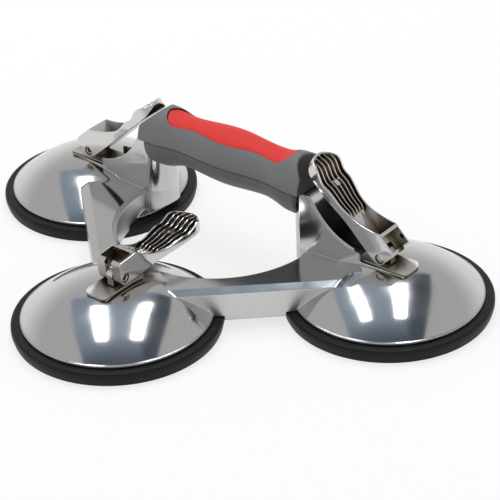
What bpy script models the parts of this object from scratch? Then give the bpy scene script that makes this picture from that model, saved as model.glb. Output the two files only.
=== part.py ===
"""Triple suction cup lifter: a cast frame with three domed cups, two arms and a gripped handle.

Metres, +Z up.  The origin is on the floor at the middle of the part.  The handle runs along X
between cups A (at -X) and C (at +X), and cup B stands in front of it at -Y.  The levers are
modelled pressed down, with the rubber pulled up inside each dome.
"""
import math

import bmesh
import bpy
from mathutils import Matrix, Vector

# Layout of the cups
CUP_SPAN = 0.220
CUP_DEPTH = 0.106
GAP = 0.0003
MERGE_DISTANCE = 0.000002
CUT_PAST = 0.001
PAST_ALL = 0.100

# Rubber suction pads
PAD_RADIUS = 0.060
PAD_FOOT_DRAFT = 0.0008
PAD_EDGE_HEIGHT = 0.0050
PAD_HEIGHT = 0.0082
PAD_LAND_WIDTH = 0.009
PAD_HOLLOW_DEPTH = 0.0025
PAD_SHOULDER = 0.0055

# Domes of the casting
DOME_RADIUS = 0.0545
DOME_RIM_HEIGHT = 0.0017
DOME_RISE = 0.0227
DOME_POWER = 2.15
DOME_FLAT_Z = 0.0264
DOME_SEAT_MARGIN = 0.0025
DOME_WALL = 0.0030
DOME_SEGMENTS = 44
STUD_HOLE_RADIUS = 0.0052

# Arms between the cups: each is a little wider where it meets the handle
ARM_FRONT_HALF_WIDTH = 0.0100
ARM_BACK_HALF_WIDTH = 0.0138
ARM_BOTTOM_Z = 0.0056
ARM_SHOULDER_Z = 0.0228
DECK_Z = 0.0245
ARM_BEVEL = 0.0060
ARCH_RADIUS = 0.0605
ARCH_CENTRE_Y = 0.038
ARCH_BEVEL = 0.0025
ARM_SKIN = 0.0035
ARM_STEP = 0.0002

# Posts that carry the handle: round-nosed inside, and narrower towards the saddle over the cup
POST_FROM_CUP = 0.0625
POST_WIDTH = 0.025
SADDLE_WIDTH = 0.0216
POST_WALL = 0.0030
POST_WEB = 0.0160
POST_SHELF = 0.0135
POST_SWEEP_POWER = 2.7
POST_SWEEP_MARGIN = 0.0020
POST_FLARE = 1.7
SADDLE_TOP_Z = 0.0300
SADDLE_OUTER = 0.0160
SADDLE_BEVEL = 0.0010

# Handle beam, and the grip shells around it
GRIP_Z = 0.061
BEAM_WIDTH = 0.016
BEAM_HEIGHT = 0.014
GRIP_MAX_HALF_WIDTH = 0.0170
GRIP_UPPER_FROM_CUP = 0.0500
GRIP_LOWER_FROM_CUP = 0.0545
GRIP_END_WALL = 0.0030
GRIP_END_CLEARANCE = 0.0010
GRIP_LOWER_CORNER = 0.009
GRIP_SEGMENTS = 28
INSERT_THICKNESS = 0.0018
INSERT_SETBACK = 0.0130

# Screws of the grip
SCREW_X = 0.025
SCREW_RADIUS = 0.0019
SCREW_HEAD_RADIUS = 0.0034
SCREW_HEAD_HEIGHT = 0.0024
SCREW_SINK = 0.0030
SCREW_TOP_COVER = 0.0050

# Levers: u runs from the pivot to the tip, v is the outer side
LEVER_LENGTH = 0.068
LEVER_HALF_WIDTH = 0.0085
LEVER_PAD_HALF_WIDTH = 0.0110
LEVER_WALL = 0.0022
LEVER_TOP = 0.0102
LEVER_WEB_U = 0.0105
LEVER_WEB = 0.0016
LEVER_BACK = 0.0052
LEVER_EDGE = 0.0012
CHANNEL_FLOOR_V = -0.0028
GROOVE_DEPTH = 0.0024
RIB_START_U = 0.030
RIB_COUNT = 7
RIB_WIDTH = 0.0012
TILT_A = math.radians(41.25)
TILT_B = math.radians(5.0)
TILT_C = math.radians(45.0)

# Height of the lever's outer edge at parts of its length, past the end of the channel
LEVER_WAVE = ((0.50, -0.0002), (0.632, 0.0011), (0.75, -0.0003), (0.897, 0.0029), (1.0, 0.0002))

# Cam on the pivot end: its reach grows evenly as the lever goes from upright to flat
CAM_REACH_UPRIGHT = 0.0034
CAM_REACH_FLAT = 0.0050
CAM_STEPS = 12

# Saddle plates under the cams
PLATE_TOP_Z = 0.0298
PLATE_HALF_LENGTH = 0.0167
PLATE_HALF_WIDTH = 0.0092
PLATE_TROUGH_RADIUS = 0.0213
PLATE_THICKNESS = 0.0012

# Pivot pins, eye bolts and backing discs
PIN_RADIUS = 0.0021
EYE_RADIUS = 0.0040
EYE_THICKNESS = 0.0044
TONGUE_WIDTH = 0.0070
SHANK_RADIUS = 0.0039
SHANK_TOP_Z = 0.0195
FOOT_RADIUS = 0.009
FOOT_HEIGHT = 0.0020
DISC_RADIUS = 0.022
DISC_THICKNESS = 0.0030

# Worked out from the sizes above
RIM_BOTTOM_Z = PAD_HEIGHT + GAP
RIM_TOP_Z = RIM_BOTTOM_Z + DOME_RIM_HEIGHT
HANDLE_Y = CUP_DEPTH / 2
POST_RADIUS = POST_WIDTH / 2
POST_INNER_X = CUP_SPAN / 2 - POST_FROM_CUP
POST_TOP_Z = GRIP_Z - GAP
GRIP_UPPER_END = CUP_SPAN / 2 - GRIP_UPPER_FROM_CUP
GRIP_LOWER_END = CUP_SPAN / 2 - GRIP_LOWER_FROM_CUP
INSERT_HALF_LENGTH = GRIP_UPPER_END - INSERT_SETBACK
CAM_RISE = (CAM_REACH_FLAT - CAM_REACH_UPRIGHT) / (math.pi / 2)

# Each cup: name, centre, heading of its lever in plan, tilt of its lever
CUPS = (
    ("a", (-CUP_SPAN / 2, HANDLE_Y), 0.0, TILT_A),
    ("b", (0.0, -CUP_DEPTH / 2), math.pi / 2, TILT_B),
    ("c", (CUP_SPAN / 2, HANDLE_Y), math.pi, TILT_C),
)


def clear_scene():
    """Start from an empty scene."""
    for item in list(bpy.data.objects):
        bpy.data.objects.remove(item, do_unlink=True)


def make_material(name, colour, roughness, metallic):
    """A Principled material with one colour."""
    material = bpy.data.materials.new(name)
    material.use_nodes = True
    shader = material.node_tree.nodes["Principled BSDF"]
    shader.inputs["Base Color"].default_value = (*colour, 1.0)
    shader.inputs["Roughness"].default_value = roughness
    shader.inputs["Metallic"].default_value = metallic
    return material


def add_object(name, bm, material=None, matrix=None):
    """Turn a bmesh into an object, with its faces pointing out."""
    bmesh.ops.remove_doubles(bm, verts=bm.verts, dist=1e-7)
    bmesh.ops.recalc_face_normals(bm, faces=bm.faces)
    mesh = bpy.data.meshes.new(name)
    bm.to_mesh(mesh)
    bm.free()
    item = bpy.data.objects.new(name, mesh)
    bpy.context.collection.objects.link(item)
    if material:
        mesh.materials.append(material)
    if matrix:
        item.matrix_world = matrix
    return item


def loft(name, rings, material=None):
    """A closed solid through rings of points, with a cap on the first and the last ring."""
    bm = bmesh.new()
    loops = [[bm.verts.new(point) for point in ring] for ring in rings]
    count = len(rings[0])
    for lower, upper in zip(loops, loops[1:]):
        for i in range(count):
            j = (i + 1) % count
            bm.faces.new((lower[i], lower[j], upper[j], upper[i]))
    bm.faces.new(reversed(loops[0]))
    bm.faces.new(loops[-1])
    return add_object(name, bm, material)


def prism(name, outline, low, high, plane="XY"):
    """Extrude a flat outline between two levels of the axis that stands on its plane."""
    place = {
        "XY": lambda p, level: (p[0], p[1], level),
        "XZ": lambda p, level: (p[0], level, p[1]),
        "YZ": lambda p, level: (level, p[0], p[1]),
    }[plane]
    return loft(name, [[place(p, low) for p in outline], [place(p, high) for p in outline]])


def box(name, low, high):
    """A rectangular block between two corners."""
    outline = [(low[0], low[1]), (high[0], low[1]), (high[0], high[1]), (low[0], high[1])]
    return prism(name, outline, low[2], high[2])


def lathe(name, profile, centre=(0.0, 0.0), segments=DOME_SEGMENTS):
    """Turn a closed (radius, height) profile about a vertical axis through centre."""
    bm = bmesh.new()
    corners = [bm.verts.new((radius, 0.0, height)) for radius, height in profile]
    edges = [bm.edges.new(pair) for pair in zip(corners, corners[1:])]
    if profile[0][0] > 0.0:
        edges.append(bm.edges.new((corners[-1], corners[0])))
    bmesh.ops.spin(bm, geom=corners + edges, cent=(0, 0, 0), axis=(0, 0, 1),
                   angle=2 * math.pi, steps=segments, use_merge=True)
    bmesh.ops.translate(bm, verts=bm.verts, vec=(centre[0], centre[1], 0.0))
    return add_object(name, bm)


def cylinder(name, radius, low, high, centre=(0.0, 0.0), segments=32):
    """A plain upright cylinder."""
    profile = [(0.0, high), (radius, high), (radius, low), (0.0, low)]
    return lathe(name, profile, centre, segments)


def combine(item, tool, operation):
    """Apply a Boolean of tool to item, tidy the new mesh and delete the tool."""
    modifier = item.modifiers.new(operation.lower(), "BOOLEAN")
    modifier.operation = operation
    modifier.object = tool
    modifier.solver = "EXACT"
    graph = bpy.context.evaluated_depsgraph_get()
    old_mesh = item.data
    item.data = bpy.data.meshes.new_from_object(item.evaluated_get(graph))
    item.modifiers.clear()
    bm = bmesh.new()
    bm.from_mesh(item.data)
    bmesh.ops.remove_doubles(bm, verts=bm.verts, dist=MERGE_DISTANCE)
    bmesh.ops.dissolve_degenerate(bm, edges=bm.edges, dist=MERGE_DISTANCE)
    bm.to_mesh(item.data)
    bm.free()
    bpy.data.meshes.remove(old_mesh)
    bpy.data.objects.remove(tool, do_unlink=True)


def finish(item, name, material, matrix=None, smooth_angle=35.0):
    """Name a finished piece, give it its material and place, and shade its curves smooth."""
    item.name = name
    item.data.name = name
    item.data.materials.clear()
    item.data.materials.append(material)
    for face in item.data.polygons:
        face.material_index = 0
    if matrix:
        item.matrix_world = matrix
    item.data.shade_smooth()
    item.data.set_sharp_from_angle(angle=math.radians(smooth_angle))
    return item


def arc(centre, radius, start, end, steps):
    """Points on an arc, with its angles in degrees."""
    points = []
    for i in range(steps + 1):
        angle = math.radians(start + (end - start) * i / steps)
        points.append((centre[0] + radius * math.cos(angle), centre[1] + radius * math.sin(angle)))
    return points


def between(x, stations):
    """Read a value between stations given as (x, value), smoothly."""
    if x <= stations[0][0]:
        return stations[0][1]
    for (x0, low), (x1, high) in zip(stations, stations[1:]):
        if x <= x1:
            t = (x - x0) / (x1 - x0)
            return low + (high - low) * t * t * (3 - 2 * t)
    return stations[-1][1]


def cup_matrix(centre, heading):
    """The frame of one cup: its X runs in plan the way its lever points."""
    return Matrix.Translation((centre[0], centre[1], 0.0)) @ Matrix.Rotation(heading, 4, "Z")


def pin_height(tilt):
    """The height at which the pin rests when the lever is pressed down to this tilt."""
    reach = CAM_REACH_FLAT - CAM_RISE * tilt
    return PLATE_TOP_Z + GAP + reach


def dome_height(radius):
    """Outer surface of a dome: a flattened bell whose top is a level seat."""
    bell = RIM_TOP_Z + DOME_RISE * (1 - (radius / DOME_RADIUS) ** DOME_POWER)
    return min(bell, DOME_FLAT_Z)


def dome_profile(inset):
    """Radius and height pairs from the middle of the dome to the foot of its rim."""
    shoulder = DOME_RADIUS * (1 - (DOME_FLAT_Z - RIM_TOP_Z) / DOME_RISE) ** (1 / DOME_POWER)
    pairs = [(0.0, DOME_FLAT_Z - inset), (shoulder - DOME_SEAT_MARGIN, DOME_FLAT_Z - inset)]
    steps = 6
    for i in range(1, steps + 1):
        radius = shoulder + (DOME_RADIUS - shoulder) * i / steps
        pairs.append((radius - inset, max(dome_height(radius) - inset, RIM_BOTTOM_Z + GAP)))
    return pairs


def dome_solid(centre):
    """The outside of one dome, closed a little below its rim, where the hollow trims it."""
    profile = dome_profile(0.0)
    low = RIM_BOTTOM_Z - 3 * GAP
    profile += [(DOME_RADIUS, low), (0.0, low)]
    return lathe("dome", profile, centre)


def dome_hollow(centre):
    """The room under one dome, with the stud hole in its top and the room around its pad."""
    profile = [(0.0, PAST_ALL), (STUD_HOLE_RADIUS, PAST_ALL)]
    profile += [(STUD_HOLE_RADIUS, DOME_FLAT_Z - DOME_WALL), *dome_profile(DOME_WALL)[1:]]
    rim = DOME_RADIUS - DOME_WALL
    profile += [(rim, RIM_BOTTOM_Z), (PAD_RADIUS + 4 * GAP, RIM_BOTTOM_Z)]
    profile += [(PAD_RADIUS + 4 * GAP, -CUT_PAST), (0.0, -CUT_PAST)]
    return lathe("hollow", profile, centre)


def arm_outline(inset, arch_inset, clear=ARM_STEP):
    """Plan outline of the two arms: straight outer faces and a round arch inside."""
    along = Vector((CUP_SPAN / 2, CUP_DEPTH)).normalized()
    outward = Vector((along.y, -along.x))
    start = Vector((0.0, -CUP_DEPTH / 2)) + outward * (ARM_FRONT_HALF_WIDTH - inset)
    end = Vector((CUP_SPAN / 2, HANDLE_Y)) + outward * (ARM_BACK_HALF_WIDTH - inset)
    corner_y = start.y - start.x * (end.y - start.y) / (end.x - start.x)
    back = HANDLE_Y + POST_RADIUS - clear - inset
    near = HANDLE_Y - POST_RADIUS + clear
    radius = ARCH_RADIUS + arch_inset
    first_angle = math.degrees(math.asin((near - ARCH_CENTRE_Y) / radius))
    arch = arc((0.0, ARCH_CENTRE_Y), radius, first_angle, -90.0, 14)
    right = [(0.0, corner_y), tuple(end), (end.x, back), (arch[0][0], back)]
    right += arch
    left = [(-x, y) for x, y in reversed(right[1:-1])]
    return right + left


def at_height(outline, height):
    """Lift a plan outline to a height."""
    return [(x, y, height) for x, y in outline]


def arms_solid():
    """Both arms and the deck: from the pocket underneath, round the foot, up to the deck."""
    pocket = arm_outline(ARM_SKIN, ARM_SKIN, ARM_SKIN)
    rings = [at_height(pocket, DECK_Z - ARM_SKIN), at_height(pocket, ARM_BOTTOM_Z)]
    rings.append(at_height(arm_outline(0.0, 0.0), ARM_BOTTOM_Z))
    steps = 3
    for i in range(steps + 1):
        turn = math.pi / 2 * i / steps
        inset = 1 - math.cos(turn)
        height = ARM_SHOULDER_Z + (DECK_Z - ARM_SHOULDER_Z) * math.sin(turn)
        rings.append(at_height(arm_outline(ARM_BEVEL * inset, ARCH_BEVEL * inset), height))
    return loft("arms", rings)


def post_profile():
    """Side view of the right-hand post: upright inside, sweeping down to the cup outside."""
    cup_x = CUP_SPAN / 2
    shelf_end = POST_INNER_X + POST_SHELF
    drop = POST_TOP_Z - SADDLE_TOP_Z
    run = cup_x - POST_SWEEP_MARGIN - shelf_end
    sweep = []
    steps = 9
    for i in range(steps + 1):
        left = 1 - (i / steps) ** 1.2
        sweep.append((shelf_end + run * (1 - left), SADDLE_TOP_Z + drop * left ** POST_SWEEP_POWER))
    outer = cup_x + SADDLE_OUTER
    inner = POST_INNER_X - CUT_PAST
    return [(inner, ARM_BOTTOM_Z), (inner, POST_TOP_Z), *sweep,
            (outer - SADDLE_BEVEL, SADDLE_TOP_Z), (outer, SADDLE_TOP_Z - SADDLE_BEVEL),
            (outer, ARM_BOTTOM_Z)]


def post_plan():
    """Plan of the right-hand post: a round nose inside, and sides that close in on the saddle."""
    far_x = CUP_SPAN / 2 + SADDLE_OUTER + CUT_PAST
    plan = arc((POST_INNER_X + POST_RADIUS, HANDLE_Y), POST_RADIUS, 270.0, 90.0, 14)
    plan += [(far_x, HANDLE_Y + SADDLE_WIDTH / 2), (far_x, HANDLE_Y - SADDLE_WIDTH / 2)]
    return plan


def post_flare(side):
    """Room that a post may fill: it leans out from the rim of its dome, clear of the rubber."""
    foot = DOME_RADIUS - CUT_PAST
    far = DOME_RADIUS + POST_WIDTH
    far_z = RIM_TOP_Z + (far - foot) / POST_FLARE
    low = RIM_BOTTOM_Z + GAP
    profile = [(0.0, PAST_ALL), (far, PAST_ALL), (far, far_z), (foot, RIM_TOP_Z), (foot, low), (0.0, low)]
    return lathe("flare", profile, (side * CUP_SPAN / 2, HANDLE_Y), 36)


def post_solid(side):
    """One post: a U-shaped channel whose inner end is closed by the nose under the handle."""
    profile = [(side * x, z) for x, z in post_profile()]
    near = HANDLE_Y - POST_RADIUS
    far = HANDLE_Y + POST_RADIUS
    post = prism("post", profile, near - CUT_PAST, far + CUT_PAST, "XZ")
    plan = prism("plan", [(side * x, y) for x, y in post_plan()], 0.0, PAST_ALL)
    combine(post, plan, "INTERSECT")
    combine(post, post_flare(side), "INTERSECT")
    web_end = POST_INNER_X + POST_WEB
    plate_end = CUP_SPAN / 2 - PLATE_HALF_LENGTH + POST_WALL
    edges = sorted((side * web_end, side * plate_end))
    channel = box("channel", (edges[0], near + POST_WALL, DECK_Z - 2 * GAP),
                  (edges[1], far - POST_WALL, PAST_ALL))
    combine(post, channel, "DIFFERENCE")
    return post


def saddle_block():
    """The block on cup B's dome that carries its saddle plate."""
    half = SADDLE_WIDTH / 2
    low = (-half, -CUP_DEPTH / 2 - SADDLE_OUTER, DECK_Z - 2 * CUT_PAST)
    high = (half, -CUP_DEPTH / 2 + PLATE_HALF_LENGTH, SADDLE_TOP_Z)
    return box("block", low, high)


def trough(half_width, top, bottom, segments=10):
    """Cross-section of a trough: two arcs of one centre, upper one read backwards."""
    sagitta = PLATE_TROUGH_RADIUS - math.sqrt(PLATE_TROUGH_RADIUS ** 2 - LEVER_HALF_WIDTH ** 2)
    axis_z = PLATE_TOP_Z - sagitta + PLATE_TROUGH_RADIUS
    points = []
    for i in range(segments + 1):
        w = -half_width + 2 * half_width * i / segments
        points.append((w, axis_z - math.sqrt((PLATE_TROUGH_RADIUS + bottom) ** 2 - w * w)))
    if top is None:
        return points
    for i in range(segments, -1, -1):
        w = -half_width + 2 * half_width * i / segments
        points.append((w, axis_z - math.sqrt((PLATE_TROUGH_RADIUS + top) ** 2 - w * w)))
    return points


def plate_seat(centre, heading):
    """The groove in the casting that the saddle plate lies in."""
    half_width = PLATE_HALF_WIDTH + GAP
    outline = trough(half_width, None, PLATE_THICKNESS + GAP)
    outline += [(half_width, PAST_ALL), (-half_width, PAST_ALL)]
    seat = prism("seat", outline, -PLATE_HALF_LENGTH - GAP, PLATE_HALF_LENGTH + GAP, "YZ")
    seat.matrix_world = cup_matrix(centre, heading)
    return seat


def frame_casting(material):
    """Domes, arms, posts and handle beam in one casting."""
    casting = arms_solid()
    for side in (-1, 1):
        combine(casting, post_solid(side), "UNION")
    for _, centre, _, _ in CUPS:
        combine(casting, dome_solid(centre), "UNION")
    combine(casting, saddle_block(), "UNION")
    combine(casting, beam_block(0.0), "UNION")
    for _, centre, heading, _ in CUPS:
        combine(casting, plate_seat(centre, heading), "DIFFERENCE")
        combine(casting, dome_hollow(centre), "DIFFERENCE")
    for side in (-1, 1):
        hole = cylinder("hole", SCREW_RADIUS + GAP, GRIP_Z - BEAM_HEIGHT, GRIP_Z + BEAM_HEIGHT,
                        (side * SCREW_X, HANDLE_Y), 16)
        combine(casting, hole, "DIFFERENCE")
    return finish(casting, "frame_casting", material)


# Half-heights of the grip along X, above and below its seam
GRIP_CROWN = ((0.0, 0.0166), (0.61 * GRIP_UPPER_END, 0.0142), (0.92 * GRIP_UPPER_END, 0.0169),
              (1.03 * GRIP_UPPER_END, 0.0172))
GRIP_BELLY = ((0.0, 0.0165), (0.52 * GRIP_LOWER_END, 0.0149), (0.94 * GRIP_LOWER_END, 0.0192),
              (1.01 * GRIP_LOWER_END, 0.0195))

# Half-widths of the insert along X, from its waist to its blunt end
INSERT_HALF_WIDTHS = ((0.0, 0.0106), (0.30, 0.0096), (0.55, 0.0075), (0.79, 0.0087), (0.87, 0.0090),
                      (0.936, 0.0066), (0.985, 0.0032), (1.0, 0.0))


def beam_block(clearance):
    """The handle beam, or with a clearance the room that the shells leave for it."""
    reach = GRIP_UPPER_END - GRIP_END_WALL - GAP + clearance
    half_width = BEAM_WIDTH / 2 + clearance
    half_height = BEAM_HEIGHT / 2 + clearance
    return box("beam", (-reach, HANDLE_Y - half_width, GRIP_Z - half_height),
               (reach, HANDLE_Y + half_width, GRIP_Z + half_height))


def grip_ring(x, offset):
    """One cross-section of the grip: two half-ellipses that meet at the seam."""
    crown = between(abs(x), GRIP_CROWN) + offset
    belly = between(abs(x), GRIP_BELLY) + offset
    width = min((crown + belly) / 2, GRIP_MAX_HALF_WIDTH + offset)
    ring = []
    for i in range(GRIP_SEGMENTS):
        angle = 2 * math.pi * i / GRIP_SEGMENTS
        height = crown if math.sin(angle) >= 0 else belly
        ring.append((x, HANDLE_Y + width * math.cos(angle), GRIP_Z + height * math.sin(angle)))
    return ring


def grip_body(offset=0.0):
    """The full grip form, before it is parted at the seam."""
    half_length = GRIP_UPPER_END + 4 * CUT_PAST
    steps = 20
    stations = [-half_length + 2 * half_length * i / steps for i in range(steps + 1)]
    return loft("grip", [grip_ring(x, offset) for x in stations])


def insert_outline(clearance):
    """Plan outline of the insert: a waisted tongue with blunt ends."""
    quarter = []
    for part, y in INSERT_HALF_WIDTHS:
        x = part * INSERT_HALF_LENGTH
        grow = 1 + clearance / math.hypot(x, y)
        quarter.append((x * grow, (y + clearance) if part < 0.9 else y * grow))
    near = [(x, -y) for x, y in quarter] + [(x, y) for x, y in reversed(quarter[:-1])]
    far = [(-x, y) for x, y in quarter[1:]] + [(-x, -y) for x, y in reversed(quarter[1:-1])]
    return [(x, HANDLE_Y + y) for x, y in near + far]


def screw_holes(item):
    """Holes for the two screws, with a counterbore for each head underneath."""
    low = GRIP_Z - 2 * GRIP_MAX_HALF_WIDTH
    for side in (-1, 1):
        centre = (side * SCREW_X, HANDLE_Y)
        top = GRIP_Z + between(SCREW_X, GRIP_CROWN) - SCREW_TOP_COVER + GAP
        hole = cylinder("hole", SCREW_RADIUS + GAP, low, top, centre, 16)
        combine(item, hole, "DIFFERENCE")
        seat = GRIP_Z - between(SCREW_X, GRIP_BELLY) + SCREW_SINK + SCREW_HEAD_HEIGHT
        sink = cylinder("sink", SCREW_HEAD_RADIUS + GAP, low, seat + GAP, centre, 20)
        combine(item, sink, "DIFFERENCE")


def under_lever(x):
    """Height of the plane that lies just under the inner face of the lower side lever."""
    tilt = min(TILT_A, TILT_C)
    away = CUP_SPAN / 2 - x
    return pin_height(tilt) + (away * math.sin(tilt) - LEVER_BACK - GRIP_END_CLEARANCE) / math.cos(tilt)


def grip_upper_shell(material):
    """Upper shell: it overhangs the posts, and its ends lean with the levers."""
    shell = grip_body()
    low = GRIP_Z + GAP / 2
    inner = GRIP_UPPER_END - INSERT_SETBACK
    side = [(GRIP_UPPER_END, low), (GRIP_UPPER_END, under_lever(GRIP_UPPER_END)),
            (inner, under_lever(inner))]
    outline = side + [(-x, z) for x, z in reversed(side)]
    combine(shell, prism("keep", outline, 0.0, PAST_ALL, "XZ"), "INTERSECT")
    combine(shell, beam_block(GAP), "DIFFERENCE")
    screw_holes(shell)
    recess = prism("recess", insert_outline(GAP), GRIP_Z, PAST_ALL)
    combine(recess, grip_body(-INSERT_THICKNESS - GAP), "DIFFERENCE")
    combine(shell, recess, "DIFFERENCE")
    return finish(shell, "grip_upper_shell", material)


def grip_lower_shell(material):
    """Lower shell: it swells into a finger guard at each end and clasps the noses of the posts."""
    shell = grip_body()
    end = GRIP_LOWER_END
    radius = GRIP_LOWER_CORNER
    low = GRIP_Z - GRIP_BELLY[-1][1] - GAP
    corner = arc((end - radius, low + radius), radius, 0.0, -90.0, 5)
    side = [(end, GRIP_Z - GAP / 2), *corner]
    outline = side + [(-x, z) for x, z in reversed(side)]
    combine(shell, prism("keep", outline, 0.0, PAST_ALL, "XZ"), "INTERSECT")
    combine(shell, beam_block(GAP), "DIFFERENCE")
    for side in (-1, 1):
        centre = (side * (POST_INNER_X + POST_RADIUS), HANDLE_Y)
        nose = cylinder("nose", POST_RADIUS + GAP, 0.0, POST_TOP_Z + GAP, centre, 28)
        combine(shell, nose, "DIFFERENCE")
    screw_holes(shell)
    return finish(shell, "grip_lower_shell", material)


def grip_insert(material):
    """Soft insert let into the crown of the upper shell."""
    insert = prism("insert", insert_outline(0.0), GRIP_Z + INSERT_THICKNESS, PAST_ALL)
    combine(insert, grip_body(GAP / 2), "INTERSECT")
    combine(insert, grip_body(-INSERT_THICKNESS), "DIFFERENCE")
    return finish(insert, "grip_insert", material)


def grip_screw(name, side, material):
    """Screw that runs up through the lower shell and the beam into the upper shell."""
    seat = GRIP_Z - between(SCREW_X, GRIP_BELLY) + SCREW_SINK + SCREW_HEAD_HEIGHT
    top = GRIP_Z + between(SCREW_X, GRIP_CROWN) - SCREW_TOP_COVER
    profile = [(0.0, top), (SCREW_RADIUS, top), (SCREW_RADIUS, seat),
               (SCREW_HEAD_RADIUS, seat), (SCREW_HEAD_RADIUS, seat - SCREW_HEAD_HEIGHT),
               (0.0, seat - SCREW_HEAD_HEIGHT)]
    return finish(lathe("screw", profile, (side * SCREW_X, HANDLE_Y), 16), name, material)


def cam_outline():
    """Cam edge of a lever from its back to its underside."""
    points = []
    for i in range(CAM_STEPS + 1):
        turn = math.pi / 2 * i / CAM_STEPS
        reach = CAM_REACH_UPRIGHT + CAM_RISE * turn
        angle = math.pi + turn
        u = reach * math.cos(angle) - CAM_RISE * math.sin(angle)
        v = reach * math.sin(angle) + CAM_RISE * math.cos(angle)
        points.append((u, v))
    return points


def lever_top(u):
    """Outer edge of the lever in side view: it dips behind the web and swells at the thumb."""
    wave = [(part * LEVER_LENGTH, height) for part, height in LEVER_WAVE]
    return between(u, [(LEVER_WEB_U, LEVER_TOP), *wave])


def lever_side():
    """Side view of a lever, cam included."""
    back = -CAM_REACH_UPRIGHT
    points = cam_outline()
    points += [(2 * LEVER_HALF_WIDTH, -LEVER_BACK), (LEVER_LENGTH - LEVER_BACK, -LEVER_BACK)]
    points += [(LEVER_LENGTH - LEVER_EDGE, -LEVER_BACK + 2 * LEVER_EDGE)]
    steps = 16
    for i in range(steps + 1):
        u = LEVER_LENGTH + (LEVER_WEB_U - LEVER_LENGTH) * i / steps
        points.append((u, lever_top(u)))
    points += [(back + LEVER_EDGE, LEVER_TOP), (back, LEVER_TOP - LEVER_EDGE)]
    return points


def lever_plan():
    """Plan of a lever: parallel at the pivot, wider and round-ended at the thumb."""
    wide = LEVER_PAD_HALF_WIDTH
    tip = arc((LEVER_LENGTH - wide, 0.0), wide, -80.0, 80.0, 10)
    half = LEVER_HALF_WIDTH
    near = [(-PAST_ALL, -half), (0.38 * LEVER_LENGTH, -half), (0.53 * LEVER_LENGTH, -half - LEVER_EDGE / 2),
            (0.68 * LEVER_LENGTH, -wide + LEVER_EDGE / 2)]
    return near + tip + [(u, -w) for u, w in reversed(near)]


def groove_side(middle):
    """Side view of one groove between the ribs: its floor follows the wave of the thumb pad."""
    reach = LEVER_LENGTH - 2.5 * LEVER_EDGE - middle ** 2 / (2 * LEVER_HALF_WIDTH)
    start = RIB_START_U - CUT_PAST
    side = [(start, CHANNEL_FLOOR_V), (start, PAST_ALL), (reach, PAST_ALL)]
    side.append((reach, lever_top(reach) - GROOVE_DEPTH / 2))
    steps = 6
    for j in range(steps - 1, 0, -1):
        u = RIB_START_U + (reach - RIB_START_U) * j / steps
        side.append((u, lever_top(u) - GROOVE_DEPTH))
    return side


def lever(name, centre, heading, tilt, material):
    """One lever: a fork with cams, a hollow arm and a ribbed thumb pad."""
    item = prism("lever", lever_side(), -LEVER_PAD_HALF_WIDTH, LEVER_PAD_HALF_WIDTH, "XZ")
    combine(item, prism("plan", lever_plan(), -PAST_ALL, PAST_ALL), "INTERSECT")
    inner = LEVER_HALF_WIDTH - LEVER_WALL
    channel = box("channel", (LEVER_WEB_U, -inner, CHANNEL_FLOOR_V), (RIB_START_U, inner, PAST_ALL))
    combine(item, channel, "DIFFERENCE")
    room = box("room", (LEVER_WALL - CAM_REACH_UPRIGHT, -inner, EYE_RADIUS + GAP),
               (LEVER_WEB_U - LEVER_WEB, inner, PAST_ALL))
    combine(item, room, "DIFFERENCE")
    slot = box("slot", (-PAST_ALL, -EYE_THICKNESS / 2 - GAP, -PAST_ALL),
               (EYE_RADIUS + 2 * GAP, EYE_THICKNESS / 2 + GAP, PAST_ALL))
    combine(item, slot, "DIFFERENCE")
    pitch = 2 * (LEVER_HALF_WIDTH - RIB_WIDTH / 2) / (RIB_COUNT - 1)
    for i in range(RIB_COUNT - 1):
        middle = (i - (RIB_COUNT - 2) / 2) * pitch
        half = (pitch - RIB_WIDTH) / 2
        tool = prism("groove", groove_side(middle), middle - half, middle + half, "XZ")
        combine(item, tool, "DIFFERENCE")
    bore = cylinder("bore", PIN_RADIUS + GAP, -PAST_ALL, PAST_ALL, segments=20)
    bore.matrix_world = Matrix.Rotation(math.pi / 2, 4, "X")
    combine(item, bore, "DIFFERENCE")
    pivot = Matrix.Translation((0.0, 0.0, pin_height(tilt)))
    matrix = cup_matrix(centre, heading) @ pivot @ Matrix.Rotation(-tilt, 4, "Y")
    return finish(item, name, material, matrix)


def pivot_pin(name, centre, heading, tilt, material):
    """Pin through the fork and the eye, flush with the fork's cheeks."""
    length = LEVER_HALF_WIDTH - GAP
    pin = cylinder("pin", PIN_RADIUS, -length, length, segments=20)
    matrix = (cup_matrix(centre, heading) @ Matrix.Translation((0.0, 0.0, pin_height(tilt)))
              @ Matrix.Rotation(math.pi / 2, 4, "X"))
    return finish(pin, name, material, matrix)


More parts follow.
